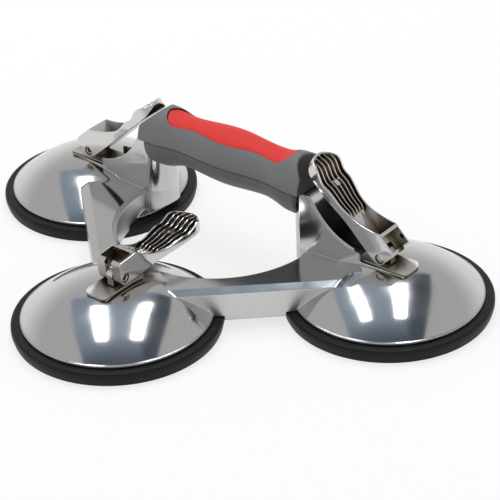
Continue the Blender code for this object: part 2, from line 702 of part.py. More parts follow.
def eye_bolt(name, centre, heading, tilt, material):
    """Flat eye around the pin, a flat tongue through the plate, and a round shank with a foot."""
    pin_z = pin_height(tilt)
    half = EYE_THICKNESS / 2
    outline = arc((0.0, pin_z), EYE_RADIUS, 215.0, -35.0, 14)
    tongue_low = SHANK_TOP_Z - 2 * CUT_PAST
    outline += [(TONGUE_WIDTH / 2, tongue_low), (-TONGUE_WIDTH / 2, tongue_low)]
    bolt = prism("eye", outline, -half, half, "XZ")
    foot_z = PAD_HEIGHT + 2 * GAP + DISC_THICKNESS
    profile = [(0.0, SHANK_TOP_Z), (SHANK_RADIUS, SHANK_TOP_Z), (SHANK_RADIUS, foot_z + FOOT_HEIGHT),
               (FOOT_RADIUS, foot_z + FOOT_HEIGHT), (FOOT_RADIUS, foot_z), (0.0, foot_z)]
    combine(bolt, lathe("shank", profile, segments=24), "UNION")
    bore = cylinder("bore", PIN_RADIUS + GAP, -PAST_ALL, PAST_ALL, segments=20)
    bore.matrix_world = Matrix.Translation((0.0, 0.0, pin_z)) @ Matrix.Rotation(math.pi / 2, 4, "X")
    combine(bolt, bore, "DIFFERENCE")
    return finish(bolt, name, material, cup_matrix(centre, heading))


def cam_plate(name, centre, heading, material):
    """Hard trough-shaped plate that the cams bear on, slotted for the eye."""
    outline = trough(PLATE_HALF_WIDTH, 0.0, PLATE_THICKNESS)
    plate = prism("plate", outline, -PLATE_HALF_LENGTH, PLATE_HALF_LENGTH, "YZ")
    slot = box("slot", (-TONGUE_WIDTH / 2 - 2 * GAP, -EYE_THICKNESS / 2 - GAP, 0.0),
               (TONGUE_WIDTH / 2 + 2 * GAP, EYE_THICKNESS / 2 + GAP, PAST_ALL))
    combine(plate, slot, "DIFFERENCE")
    return finish(plate, name, material, cup_matrix(centre, heading))


def suction_pad(name, centre, material):
    """Rubber pad with a sealing land at its edge and a shallow hollow inside it."""
    foot = PAD_RADIUS - PAD_FOOT_DRAFT
    land = foot - PAD_LAND_WIDTH
    top = PAD_RADIUS - PAD_SHOULDER
    profile = [(0.0, PAD_HEIGHT), (top, PAD_HEIGHT), (PAD_RADIUS, PAD_EDGE_HEIGHT), (foot, 0.0),
               (land, 0.0), (land * 0.8, PAD_HOLLOW_DEPTH * 0.6),
               (land * 0.45, PAD_HOLLOW_DEPTH), (0.0, PAD_HOLLOW_DEPTH)]
    return finish(lathe("pad", profile, centre), name, material)


def backing_disc(name, centre, material):
    """Steel disc bonded to the top of the rubber."""
    low = PAD_HEIGHT + GAP
    disc = cylinder("disc", DISC_RADIUS, low, low + DISC_THICKNESS, centre, 32)
    return finish(disc, name, material)


def build():
    """Make every piece of the lifter."""
    clear_scene()
    aluminium = make_material("polished_aluminium", (0.80, 0.80, 0.82), 0.10, 1.0)
    chrome = make_material("bright_die_casting", (0.78, 0.76, 0.74), 0.12, 1.0)
    steel = make_material("zinc_steel", (0.62, 0.62, 0.60), 0.30, 1.0)
    light_grey = make_material("grey_grip_plastic", (0.16, 0.165, 0.165), 0.55, 0.0)
    dark_grey = make_material("dark_grip_plastic", (0.10, 0.10, 0.10), 0.55, 0.0)
    red = make_material("red_soft_rubber", (0.72, 0.06, 0.05), 0.50, 0.0)
    black = make_material("black_rubber", (0.015, 0.015, 0.015), 0.60, 0.0)
    frame_casting(aluminium)
    grip_upper_shell(light_grey)
    grip_lower_shell(dark_grey)
    grip_insert(red)
    grip_screw("grip_screw_a", -1, steel)
    grip_screw("grip_screw_c", 1, steel)
    for letter, centre, heading, tilt in CUPS:
        lever(f"lever_{letter}", centre, heading, tilt, chrome)
        pivot_pin(f"pivot_pin_{letter}", centre, heading, tilt, steel)
        eye_bolt(f"eye_bolt_{letter}", centre, heading, tilt, steel)
        cam_plate(f"cam_plate_{letter}", centre, heading, chrome)
        suction_pad(f"suction_pad_{letter}", centre, black)
        backing_disc(f"backing_disc_{letter}", centre, steel)


build()
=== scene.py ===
"""Triple suction cup lifter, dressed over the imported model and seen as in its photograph."""
import math

import bmesh
import bpy
from mathutils import Matrix, Vector


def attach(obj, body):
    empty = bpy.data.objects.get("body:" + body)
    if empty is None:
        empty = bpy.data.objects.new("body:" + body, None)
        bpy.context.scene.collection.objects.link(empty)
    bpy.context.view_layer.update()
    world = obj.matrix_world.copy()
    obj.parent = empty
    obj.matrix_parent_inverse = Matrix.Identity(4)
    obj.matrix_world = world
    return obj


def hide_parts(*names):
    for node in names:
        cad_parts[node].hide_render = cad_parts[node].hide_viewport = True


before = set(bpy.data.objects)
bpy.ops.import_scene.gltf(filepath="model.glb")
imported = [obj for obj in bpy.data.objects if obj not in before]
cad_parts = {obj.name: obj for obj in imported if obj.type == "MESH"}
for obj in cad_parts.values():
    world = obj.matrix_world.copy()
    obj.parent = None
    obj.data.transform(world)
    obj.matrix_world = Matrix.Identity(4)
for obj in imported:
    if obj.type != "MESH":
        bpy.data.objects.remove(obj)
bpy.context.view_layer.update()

# Camera
# A long lens, in front and to the right of the lifter and about 31 degrees above it.
# The lens and the place were fitted to the photograph, with its slight tilt.
CAMERA_TURN = math.radians(40.217)
CAMERA_DOWN = math.radians(31.293)
CAMERA_TILT = -0.0440
CAMERA_PLACE = Vector((0.65412, -0.70946, 0.60750))
CAMERA_LENS = 141.6


def camera_matrix():
    """The camera's axes and place as one matrix."""
    level = math.cos(CAMERA_DOWN)
    ahead = Vector((-math.sin(CAMERA_TURN) * level, math.cos(CAMERA_TURN) * level, -math.sin(CAMERA_DOWN)))
    flat_right = Vector((math.cos(CAMERA_TURN), math.sin(CAMERA_TURN), 0.0))
    flat_up = flat_right.cross(ahead)
    right = flat_right * math.cos(CAMERA_TILT) + flat_up * math.sin(CAMERA_TILT)
    up = flat_up * math.cos(CAMERA_TILT) - flat_right * math.sin(CAMERA_TILT)
    turn = Matrix((right, up, -ahead)).transposed().to_4x4()
    return Matrix.Translation(CAMERA_PLACE) @ turn


camera_data = bpy.data.cameras.new("camera")
camera_data.lens = CAMERA_LENS
camera_data.sensor_width = 36.0
camera_data.clip_start = 0.05
camera_data.clip_end = 30.0
camera = bpy.data.objects.new("camera", camera_data)
camera.matrix_world = camera_matrix()
bpy.context.scene.collection.objects.link(camera)
bpy.context.scene.camera = camera
bpy.context.scene.view_settings.view_transform = "Standard"


# Studio
# White paper under the lifter, two long strip lights overhead and a painted ceiling just above them.
# The polished metal shows all of these, so they are what gives the domes their pattern.
PAPER_WHITE = "#FDFDFC"
PAPER_GLOW = 0.75
CEILING_MIDDLE = "#A5B5C6"
CEILING_EDGE = "#59616D"
CEILING_HEIGHT = 2.2
CEILING_HALF = (1.30, 2.00)
CEILING_BEHIND = 0.60
STRIP_HEIGHT = 2.1
STRIP_OFFSETS = (-0.50, 0.43)
STRIP_BEHIND = 0.70
STRIP_SIZE = (0.29, 1.90)
STRIP_POWER = 13.0
ROOM_GREY = 0.80
# The Mix node's sockets for colours: its two inputs and its output.
COLOUR_A = 6
COLOUR_B = 7
COLOUR_OUT = 2


def linear(hex_colour):
    """An sRGB hex colour as linear red, green, blue and alpha."""
    channels = [int(hex_colour[i:i + 2], 16) / 255 for i in (1, 3, 5)]
    return tuple(c / 12.92 if c <= 0.04045 else ((c + 0.055) / 1.055) ** 2.4 for c in channels) + (1.0,)


def add_node(tree, kind, settings=None, **links):
    """Add a node: settings are its properties or its sockets' values, links its sockets' sources."""
    made = tree.nodes.new(kind)
    for name, value in (settings or {}).items():
        if name in made.inputs:
            made.inputs[name].default_value = value
        else:
            setattr(made, name, value)
    for name, source in links.items():
        tree.links.new(source, made.inputs[name.replace("_", " ")])
    return made


def start_material(name):
    """A new material, its node tree and its main shader."""
    material = bpy.data.materials.new(name)
    material.use_nodes = True
    return material, material.node_tree, material.node_tree.nodes["Principled BSDF"]


def shown_rays(tree):
    """Light Path, and a value that is 1 for the rays of the camera and of reflections."""
    path = add_node(tree, "ShaderNodeLightPath")
    shown = add_node(tree, "ShaderNodeMath", {"operation": "MAXIMUM"})
    tree.links.new(path.outputs["Is Camera Ray"], shown.inputs[0])
    tree.links.new(path.outputs["Is Glossy Ray"], shown.inputs[1])
    return path, shown.outputs["Value"]


def floor_paper():
    """White seamless paper: it keeps the lifter's shadow and reads as white behind it."""
    material, tree, _ = start_material("seamless_paper")
    tree.nodes.clear()
    # Paper fibres are too fine to show, so the unevenness is drawn about 23 mm wide.
    grain = add_node(tree, "ShaderNodeTexNoise", {"Scale": 260.0, "Detail": 2.0})
    bump = add_node(tree, "ShaderNodeBump", {"Strength": 0.02, "Distance": 0.0005},
                    Height=grain.outputs["Fac"])
    matt = add_node(tree, "ShaderNodeBsdfDiffuse", {"Color": linear(PAPER_WHITE)},
                    Normal=bump.outputs["Normal"])
    glow = add_node(tree, "ShaderNodeEmission", {"Color": linear(PAPER_WHITE), "Strength": 1.0})
    _, shown = shown_rays(tree)
    share = add_node(tree, "ShaderNodeMath", {"operation": "MULTIPLY"})
    tree.links.new(shown, share.inputs[0])
    share.inputs[1].default_value = PAPER_GLOW
    mixed = add_node(tree, "ShaderNodeMixShader", None, Fac=share.outputs["Value"])
    tree.links.new(matt.outputs["BSDF"], mixed.inputs[1])
    tree.links.new(glow.outputs["Emission"], mixed.inputs[2])
    add_node(tree, "ShaderNodeOutputMaterial", None, Surface=mixed.outputs["Shader"])
    return material


def ceiling_paint():
    """Matt paint of the studio ceiling: pale blue, and darker at its right and near sides."""
    material, tree, shader = start_material("matt_ceiling_paint")
    shader.inputs["Roughness"].default_value = 0.9
    place = add_node(tree, "ShaderNodeTexCoord")
    split = add_node(tree, "ShaderNodeSeparateXYZ", None, Vector=place.outputs["Object"])
    right = add_node(tree, "ShaderNodeMapRange", {"interpolation_type": "SMOOTHSTEP", "From Min": 0.30,
                                                  "From Max": 0.85}, Value=split.outputs["X"])
    near = add_node(tree, "ShaderNodeMapRange", {"interpolation_type": "SMOOTHSTEP", "From Min": -0.60,
                                                 "From Max": -2.00}, Value=split.outputs["Y"])
    edge = add_node(tree, "ShaderNodeMath", {"operation": "MAXIMUM"})
    tree.links.new(right.outputs["Result"], edge.inputs[0])
    tree.links.new(near.outputs["Result"], edge.inputs[1])
    tone = add_node(tree, "ShaderNodeMix", {"data_type": "RGBA"}, Factor=edge.outputs["Value"])
    tone.inputs[COLOUR_A].default_value = linear(CEILING_MIDDLE)
    tone.inputs[COLOUR_B].default_value = linear(CEILING_EDGE)
    tree.links.new(tone.outputs[COLOUR_OUT], shader.inputs["Base Color"])
    return material


def flat_card(name, half, place, material):
    """A level card in the studio, turned with the camera and kept out of the object."""
    bm = bmesh.new()
    bmesh.ops.create_grid(bm, x_segments=4, y_segments=4, size=1.0)
    bmesh.ops.scale(bm, verts=bm.verts, vec=(half[0], half[1], 1.0))
    mesh = bpy.data.meshes.new(name)
    bm.to_mesh(mesh)
    bm.free()
    mesh.materials.append(material)
    card = bpy.data.objects.new(name, mesh)
    card.matrix_world = Matrix.Rotation(CAMERA_TURN, 4, "Z") @ Matrix.Translation(place)
    bpy.context.scene.collection.objects.link(card)


def strip_light(name, offset):
    """A strip light overhead, long in the direction in which the camera looks."""
    lamp = bpy.data.lights.new(name, "AREA")
    lamp.shape = "RECTANGLE"
    lamp.size, lamp.size_y = STRIP_SIZE
    lamp.energy = STRIP_POWER
    light = bpy.data.objects.new(name, lamp)
    turn = Matrix.Rotation(CAMERA_TURN, 4, "Z")
    light.matrix_world = turn @ Matrix.Translation((offset, STRIP_BEHIND, STRIP_HEIGHT))
    bpy.context.scene.collection.objects.link(light)


def room_light():
    """Even light from all sides: white at the horizon, and a greyer wall higher up in reflections."""
    world = bpy.data.worlds.new("studio")
    bpy.context.scene.world = world
    world.use_nodes = True
    tree = world.node_tree
    tree.nodes.clear()
    place = add_node(tree, "ShaderNodeTexCoord")
    split = add_node(tree, "ShaderNodeSeparateXYZ", None, Vector=place.outputs["Generated"])
    wall = add_node(tree, "ShaderNodeMapRange",
                    {"From Min": 0.14, "From Max": 0.52, "To Min": 1.0, "To Max": 0.61},
                    Value=split.outputs["Z"])
    seen_room = add_node(tree, "ShaderNodeBackground", {"Color": (1.0, 1.0, 1.0, 1.0)},
                         Strength=wall.outputs["Result"])
    even_room = add_node(tree, "ShaderNodeBackground",
                         {"Color": (1.0, 1.0, 1.0, 1.0), "Strength": ROOM_GREY})
    path, shown = shown_rays(tree)
    through = add_node(tree, "ShaderNodeMath", {"operation": "MAXIMUM"})
    tree.links.new(shown, through.inputs[0])
    tree.links.new(path.outputs["Is Transmission Ray"], through.inputs[1])
    mixed = add_node(tree, "ShaderNodeMixShader", None, Fac=through.outputs["Value"])
    tree.links.new(even_room.outputs["Background"], mixed.inputs[1])
    tree.links.new(seen_room.outputs["Background"], mixed.inputs[2])
    add_node(tree, "ShaderNodeOutputWorld", None, Surface=mixed.outputs["Shader"])


flat_card("floor", (3.0, 3.0), (0.0, 0.0, 0.0), floor_paper())
flat_card("ceiling", CEILING_HALF, (0.0, CEILING_BEHIND, CEILING_HEIGHT), ceiling_paint())
strip_light("strip_left", STRIP_OFFSETS[0])
strip_light("strip_right", STRIP_OFFSETS[1])
room_light()


# Frame casting
# One aluminium die casting: three domed cups, two arms, two posts and the beam inside the grip.
# It is polished to a mirror that still waves a little. The arms' sides are only belt-ground,
# and the deep channels stay rough as cast. Painted shade darkens the channels and tight corners.
CUP_SPAN = 0.220
CUP_DEPTH = 0.106
HANDLE_Y = CUP_DEPTH / 2
CUPS = {"a": (-CUP_SPAN / 2, HANDLE_Y), "b": (0.0, -CUP_DEPTH / 2), "c": (CUP_SPAN / 2, HANDLE_Y)}
HEADINGS = {"a": 0.0, "b": math.pi / 2, "c": math.pi}
GAP = 0.0003
RIM_BOTTOM_Z = 0.0085
RIM_TOP_Z = 0.0102
DOME_RADIUS = 0.0545
DOME_FOOT = 0.0538
DOME_RISE = 0.0175
DOME_POWER = 2.8
DOME_WALL = 0.0030
STUD_HOLE = 0.0052
ARM_BOTTOM_Z = 0.0056
ARM_SHOULDER_Z = 0.0228
ARM_BEVEL = 0.0050
ARM_HALF_AT_B = 0.0100
ARM_HALF_AT_POST = 0.0138
ARCH_RADIUS = 0.0605
ARCH_CENTRE_Y = 0.038
DECK_Z = 0.0245
GRIP_Z = 0.061
POST_INNER_X = 0.0475
POST_RADIUS = 0.0125
POST_SHELF_END = 0.0637
POST_SWEEP = 0.0155
POST_WALL = 0.0019
POST_OUTER = 0.0158
POST_PLAN_END = 0.0170
CHANNEL_END = 0.0137
FLARE_SLOPE = 1.7
FLARE_REACH = 0.025
NOSE_SPREAD = 74.0
NOSE_SETBACK = 0.0008
BEAM_LOW = (-0.0567, 0.045, 0.054)
BEAM_HIGH = (0.0567, 0.061, 0.068)
SADDLE_TOP_Z = 0.0300
SADDLE_HALF = (0.0154, 0.0073)
SEAT_HALF = 0.0095
PLATE_TOP_Z = 0.0298
PLATE_HALF_LENGTH = 0.0167
PLATE_THICKNESS = 0.0012
TROUGH_RADIUS = 0.0213
TROUGH_EDGE = 0.0085
PAD_RADIUS = 0.060
PAD_HEIGHT = 0.0082
ABOVE_ALL = 0.1
MERGE_DISTANCE = 1e-7
SHARP_ANGLE = math.radians(35.0)


def loft_rings(bm, rings):
    """Skin closed rings of points one after another and cap both ends."""
    loops = [[bm.verts.new(point) for point in ring] for ring in rings]
    count = len(rings[0])
    for lower, upper in zip(loops, loops[1:]):
        for i in range(count):
            j = (i + 1) % count
            bm.faces.new((lower[i], lower[j], upper[j], upper[i]))
    bm.faces.new(reversed(loops[0]))
    bm.faces.new(loops[-1])


def turned(bm, profile, centre=(0.0, 0.0), steps=160):
    """Turn a closed (radius, height) profile about an upright axis."""
    made = [bm.verts.new((radius, 0.0, height)) for radius, height in profile]
    edges = [bm.edges.new(pair) for pair in zip(made, made[1:])]
    if profile[0][0] > 0.0:
        edges.append(bm.edges.new((made[-1], made[0])))
    bmesh.ops.spin(bm, geom=made + edges, cent=(0, 0, 0), axis=(0, 0, 1),
                   angle=2 * math.pi, steps=steps, use_merge=True)
    bmesh.ops.translate(bm, verts=bm.verts, vec=(*centre, 0.0))


def arc_points(centre, radius, start, end, steps):
    """Points on an arc, with its angles in degrees."""
    points = []
    for i in range(steps + 1):
        angle = math.radians(start + (end - start) * i / steps)
        points.append((centre[0] + radius * math.cos(angle), centre[1] + radius * math.sin(angle)))
    return points


def dome_height(radius):
    """Outer surface of a dome."""
    return RIM_TOP_Z + DOME_RISE * max(0.0, 1 - (radius / DOME_FOOT) ** DOME_POWER)


def dome_ring(bm, centre):
    """One cup: a thin bell with a stud hole in its top and a rounded lip at its rim."""
    steps = 44
    lip = 0.0004
    blunt = 0.0003
    outer = []
    for i in range(steps + 1):
        radius = STUD_HOLE + (DOME_FOOT - STUD_HOLE) * i / steps
        outer.append((radius, dome_height(radius)))
    rim = arc_points((DOME_RADIUS - lip, RIM_TOP_Z - lip), lip, 90.0, 0.0, 4)
    rim += [(DOME_RADIUS, RIM_BOTTOM_Z + blunt), (DOME_RADIUS - blunt, RIM_BOTTOM_Z)]
    inner = []
    for i in range(steps, -1, -2):
        radius = STUD_HOLE + (DOME_FOOT - DOME_WALL - STUD_HOLE) * i / steps
        inner.append((radius, max(dome_height(radius + DOME_WALL * 0.6) - DOME_WALL, RIM_BOTTOM_Z)))
    turned(bm, outer + rim + inner, centre)


def arm_outline(inset, arch_inset):
    """Plan of the two arms, drawn in by its insets: straight outer faces, and a round arch inside."""
    along = Vector((CUP_SPAN / 2, CUP_DEPTH)).normalized()
    outward = Vector((along.y, -along.x))
    start = Vector((0.0, -CUP_DEPTH / 2)) + outward * (ARM_HALF_AT_B - inset)
    end = Vector((CUP_SPAN / 2, HANDLE_Y)) + outward * (ARM_HALF_AT_POST - inset)
    corner_y = start.y - start.x * (end.y - start.y) / (end.x - start.x)
    within_post = 0.0002
    back = HANDLE_Y + POST_RADIUS - within_post - inset
    near = HANDLE_Y - POST_RADIUS + within_post
    radius = ARCH_RADIUS + arch_inset
    first = math.degrees(math.asin((near - ARCH_CENTRE_Y) / radius))
    arch = arc_points((0.0, ARCH_CENTRE_Y), radius, first, -90.0, 48)
    corner = Vector((0.0, corner_y))
    right = [tuple(corner.lerp(end, share)) for share in (0.0, 0.02, 0.5, 0.98, 1.0)]
    right += [(end.x, back), (arch[0][0], back)]
    right += arch
    left = [(-x, y) for x, y in reversed(right[1:-1])]
    return right + left


def arms_ring(bm):
    """Both arms: hollow underneath, upright faces, a wide flat bevel and a level deck."""
    skin = 0.0035
    blunt = 0.0003
    edge = 0.0004
    foot = ((skin, DECK_Z - skin), (skin, ARM_BOTTOM_Z + blunt), (skin - blunt, ARM_BOTTOM_Z),
            (edge, ARM_BOTTOM_Z), (0.0, ARM_BOTTOM_Z + edge))
    rings = [[(x, y, z) for x, y in arm_outline(inset, inset)] for inset, z in foot]
    rise = DECK_Z - ARM_SHOULDER_Z
    bevel = ((0.0, -0.15), (0.015, -0.03), (0.06, 0.04), (0.94, 0.96), (0.98, 0.99), (1.06, 1.0))
    for inward, upward in bevel:
        outline = arm_outline(ARM_BEVEL * inward, ARM_BEVEL * inward * 0.5)
        rings.append([(x, y, ARM_SHOULDER_Z + rise * upward) for x, y in outline])
    loft_rings(bm, rings)


def post_side_view(side):
    """Side view of a post: upright inside, sweeping down to its cup outside."""
    cup_x = CUP_SPAN / 2
    top = GRIP_Z - GAP
    run = cup_x - 0.002 - POST_SHELF_END
    spare = 0.001
    points = [(POST_INNER_X - spare, ARM_BOTTOM_Z), (POST_INNER_X - spare, top)]
    steps = 36
    for i in range(steps + 1):
        away = run * (i / steps) ** 1.3
        height = SADDLE_TOP_Z + (top - SADDLE_TOP_Z) * math.exp(-away / POST_SWEEP)
        points.append((POST_SHELF_END + away, height))
    outer = cup_x + POST_OUTER
    blunt = 0.001
    points += [(outer - blunt, SADDLE_TOP_Z), (outer, SADDLE_TOP_Z - blunt), (outer, ARM_BOTTOM_Z)]
    return [(side * x, z) for x, z in points]


def solid_from(name, build_rings):
    """A solid that a Boolean or join_pieces will use up."""
    bm = bmesh.new()
    build_rings(bm)
    bmesh.ops.remove_doubles(bm, verts=bm.verts, dist=MERGE_DISTANCE)
    bmesh.ops.recalc_face_normals(bm, faces=bm.faces)
    mesh = bpy.data.meshes.new(name)
    bm.to_mesh(mesh)
    bm.free()
    solid = bpy.data.objects.new(name, mesh)
    bpy.context.scene.collection.objects.link(solid)
    return solid


def upright_solid(name, outline, low, high):
    """A solid with one outline, (x, y), from one height to another."""
    rings = [[(x, y, z) for x, y in outline] for z in (low, high)]
    return solid_from(name, lambda bm: loft_rings(bm, rings))


def block(name, low, high):
    """A rectangular block between two corners."""
    outline = [(low[0], low[1]), (high[0], low[1]), (high[0], high[1]), (low[0], high[1])]
    return upright_solid(name, outline, low[2], high[2])


def cut_together(piece, tool, operation):
    """Apply a Boolean of tool to piece and delete the tool."""
    modifier = piece.modifiers.new(operation.lower(), "BOOLEAN")
    modifier.operation = operation
    modifier.object = tool
    modifier.solver = "EXACT"
    graph = bpy.context.evaluated_depsgraph_get()
    old_mesh = piece.data
    piece.data = bpy.data.meshes.new_from_object(piece.evaluated_get(graph))
    piece.modifiers.clear()
    bpy.data.meshes.remove(old_mesh)
    bpy.data.objects.remove(tool, do_unlink=True)


def cup_matrix(letter):
    """Frame of a cup: its axis is Z, and its lever points along X."""
    return Matrix.Translation((*CUPS[letter], 0.0)) @ Matrix.Rotation(HEADINGS[letter], 4, "Z")


def trough_height(w, below):
    """Height of a saddle plate's trough at a place across it, some way below its upper face."""
    axis = PLATE_TOP_Z - (TROUGH_RADIUS - math.sqrt(TROUGH_RADIUS ** 2 - TROUGH_EDGE ** 2)) + TROUGH_RADIUS
    return axis - math.sqrt((TROUGH_RADIUS + below) ** 2 - w * w)


def seat_cutter(letter):
    """The room over a dome that its saddle plate takes up."""
    steps = 16
    across = [-SEAT_HALF + 2 * SEAT_HALF * i / steps for i in range(steps + 1)]
    outline = [(w, trough_height(w, PLATE_THICKNESS + GAP)) for w in across]
    outline += [(SEAT_HALF, ABOVE_ALL), (-SEAT_HALF, ABOVE_ALL)]
    half = PLATE_HALF_LENGTH + GAP
    rings = [[(u, w, z) for w, z in outline] for u in (-half, half)]
    cutter = solid_from("seat", lambda bm: loft_rings(bm, rings))
    cutter.matrix_world = cup_matrix(letter)
    return cutter


def cup_room(letter):
    """The room that a pad and its stud take up in the casting."""
    top = PAD_HEIGHT + GAP
    room = [(0.0, ABOVE_ALL), (STUD_HOLE, ABOVE_ALL), (STUD_HOLE, top), (PAD_RADIUS + GAP, top),
            (PAD_RADIUS + GAP, 0.0), (0.0, 0.0)]
    return solid_from("room", lambda bm: turned(bm, room, CUPS[letter]))


def arms_piece():
    """Both arms, notched over the pads and bored for the studs."""
    arms = solid_from("arms", arms_ring)
    for letter in CUPS:
        cut_together(arms, cup_room(letter), "DIFFERENCE")
    return arms


def post_piece(side):
    """One post: round nose under the handle, a channel behind it and a saddle over the cup."""
    letter = "a" if side < 0 else "c"
    view = post_side_view(side)
    spare = 0.001
    faces = (HANDLE_Y - POST_RADIUS - spare, HANDLE_Y + POST_RADIUS + spare)
    rings = [[(x, y, z) for x, z in view] for y in faces]
    post = solid_from("post", lambda bm: loft_rings(bm, rings))
    round_nose = POST_RADIUS / math.sin(math.radians(NOSE_SPREAD))
    nose_axis = POST_INNER_X + NOSE_SETBACK + round_nose
    plan = arc_points((nose_axis, HANDLE_Y), round_nose, 180.0 + NOSE_SPREAD, 180.0 - NOSE_SPREAD, 40)
    shoulder_x = nose_axis - round_nose * math.cos(math.radians(NOSE_SPREAD))
    far_x = CUP_SPAN / 2 + POST_PLAN_END
    slope = (SADDLE_HALF[1] - POST_RADIUS) / (far_x - shoulder_x)
    plan += [(far_x, HANDLE_Y + SADDLE_HALF[1]), (far_x, HANDLE_Y - SADDLE_HALF[1])]
    plan = [(side * x, y) for x, y in plan]
    cut_together(post, upright_solid("plan", plan, 0.0, ABOVE_ALL), "INTERSECT")
    foot = DOME_RADIUS - 0.001
    wide = DOME_RADIUS + FLARE_REACH
    flare = [(0.0, ABOVE_ALL), (wide, ABOVE_ALL), (wide, RIM_TOP_Z + (wide - foot) / FLARE_SLOPE),
             (foot, RIM_TOP_Z), (foot, RIM_BOTTOM_Z + GAP), (0.0, RIM_BOTTOM_Z + GAP)]
    cut_together(post, solid_from("flare", lambda bm: turned(bm, flare, CUPS[letter], 120)), "INTERSECT")
    ends = (POST_SHELF_END + 0.0008, CUP_SPAN / 2 - CHANNEL_END)
    walls = [(x, POST_RADIUS + slope * (x - shoulder_x) - POST_WALL) for x in ends]
    channel = [(side * x, HANDLE_Y + half) for x, half in walls]
    channel += [(side * x, HANDLE_Y - half) for x, half in reversed(walls)]
    cut_together(post, upright_solid("channel", channel, DECK_Z - 2 * GAP, ABOVE_ALL), "DIFFERENCE")
    cut_together(post, seat_cutter(letter), "DIFFERENCE")
    cut_together(post, cup_room(letter), "DIFFERENCE")
    return post


def saddle_piece():
    """The raised block on cup B's dome that carries its plate: the plate overhangs it all round."""
    low = (-SADDLE_HALF[1], -CUP_DEPTH / 2 - SADDLE_HALF[0], DECK_Z - 0.002)
    high = (SADDLE_HALF[1], -CUP_DEPTH / 2 + SADDLE_HALF[0], SADDLE_TOP_Z)
    saddle = block("saddle", low, high)
    cut_together(saddle, seat_cutter("b"), "DIFFERENCE")
    cut_together(saddle, cup_room("b"), "DIFFERENCE")
    return saddle


def cup_piece(letter):
    """A dome, cut away at its top where the saddle plate lies."""
    cup = solid_from("cup", lambda bm: dome_ring(bm, CUPS[letter]))
    cut_together(cup, seat_cutter(letter), "DIFFERENCE")
    return cup


def polished_aluminium():
    """Cast aluminium: a waving mirror where it is polished, satin where the arms' sides are belt-ground
    and rough, as cast, deep in the channels that no wheel reaches. Painted shade turns those channels and
    tight corners dark grey."""
    material, tree, shader = start_material("polished_aluminium")
    shader.inputs["Metallic"].default_value = 1.0
    place = add_node(tree, "ShaderNodeTexCoord")
    # The wheel leaves slow waves, about 14 mm long. Its scuffs, under 0.1 mm, are drawn 1.1 mm to show.
    waves = add_node(tree, "ShaderNodeTexNoise", {"Scale": 70.0, "Detail": 1.0},
                     Vector=place.outputs["Object"])
    scuffs = add_node(tree, "ShaderNodeTexNoise", {"Scale": 900.0, "Detail": 3.0},
                      Vector=place.outputs["Object"])
    haze = add_node(tree, "ShaderNodeMapRange",
                    {"From Min": 0.3, "From Max": 0.7, "To Min": 0.09, "To Max": 0.15},
                    Value=waves.outputs["Fac"])
    facing = add_node(tree, "ShaderNodeSeparateXYZ", None, Vector=place.outputs["Normal"])
    level = add_node(tree, "ShaderNodeMath", {"operation": "ABSOLUTE"}, Value=facing.outputs["Z"])
    spot = add_node(tree, "ShaderNodeSeparateXYZ", None, Vector=place.outputs["Object"])
    belted = add_node(tree, "ShaderNodeMapRange",
                      {"From Min": DECK_Z, "From Max": DECK_Z + 0.001, "To Min": 0.32},
                      Value=spot.outputs["Z"], To_Max=haze.outputs["Result"])
    ground = add_node(tree, "ShaderNodeMapRange", {"From Min": 0.08, "From Max": 0.25},
                      Value=level.outputs["Value"], To_Min=belted.outputs["Result"],
                      To_Max=haze.outputs["Result"])
    # Painted shade: where ambient occlusion finds a channel or a tight corner, the colour goes to dark grey.
    hollow = add_node(tree, "ShaderNodeAmbientOcclusion", {"samples": 8, "Distance": 0.020})
    open_air = add_node(tree, "ShaderNodeMapRange", {"From Min": 0.25, "From Max": 0.52},
                        Value=hollow.outputs["AO"])
    rough = add_node(tree, "ShaderNodeMapRange", {"To Min": 0.50},
                     Value=open_air.outputs["Result"], To_Max=ground.outputs["Result"])
    tree.links.new(rough.outputs["Result"], shader.inputs["Roughness"])
    bright = add_node(tree, "ShaderNodeMix", {"data_type": "RGBA"}, Factor=scuffs.outputs["Fac"])
    bright.inputs[COLOUR_A].default_value = linear("#BFBFBF")
    bright.inputs[COLOUR_B].default_value = linear("#C9C8C7")
    # The dark grey mixed in here is painted shade, not the metal's own colour.
    tone = add_node(tree, "ShaderNodeMix", {"data_type": "RGBA"}, Factor=open_air.outputs["Result"])
    tone.inputs[COLOUR_A].default_value = linear("#44474B")
    tree.links.new(bright.outputs[COLOUR_OUT], tone.inputs[COLOUR_B])
    tree.links.new(tone.outputs[COLOUR_OUT], shader.inputs["Base Color"])
    slow = add_node(tree, "ShaderNodeBump", {"Strength": 0.06, "Distance": 0.0008},
                    Height=waves.outputs["Fac"])
    fine = add_node(tree, "ShaderNodeBump", {"Strength": 0.03, "Distance": 0.00005},
                    Height=scuffs.outputs["Fac"], Normal=slow.outputs["Normal"])
    edge = add_node(tree, "ShaderNodeBevel", {"samples": 6, "Radius": 0.0006}, Normal=fine.outputs["Normal"])
    tree.links.new(edge.outputs["Normal"], shader.inputs["Normal"])
    return material


def join_pieces(name, parts, material, body):
    """Make one smooth-shaded piece of solids that overlap or touch, and ride it on a body."""
    bpy.context.view_layer.update()
    bm = bmesh.new()
    for part in parts:
        part.data.transform(part.matrix_world)
        bm.from_mesh(part.data)
        bpy.data.objects.remove(part, do_unlink=True)
    mesh = bpy.data.meshes.new(name)
    bm.to_mesh(mesh)
    bm.free()
    mesh.shade_smooth()
    mesh.set_sharp_from_angle(angle=SHARP_ANGLE)
    mesh.materials.append(material)
    piece = bpy.data.objects.new(name, mesh)
    bpy.context.scene.collection.objects.link(piece)
    weigh = piece.modifiers.new("weigh", "WEIGHTED_NORMAL")
    weigh.keep_sharp = True
    weigh.weight = 80
    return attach(piece, body)


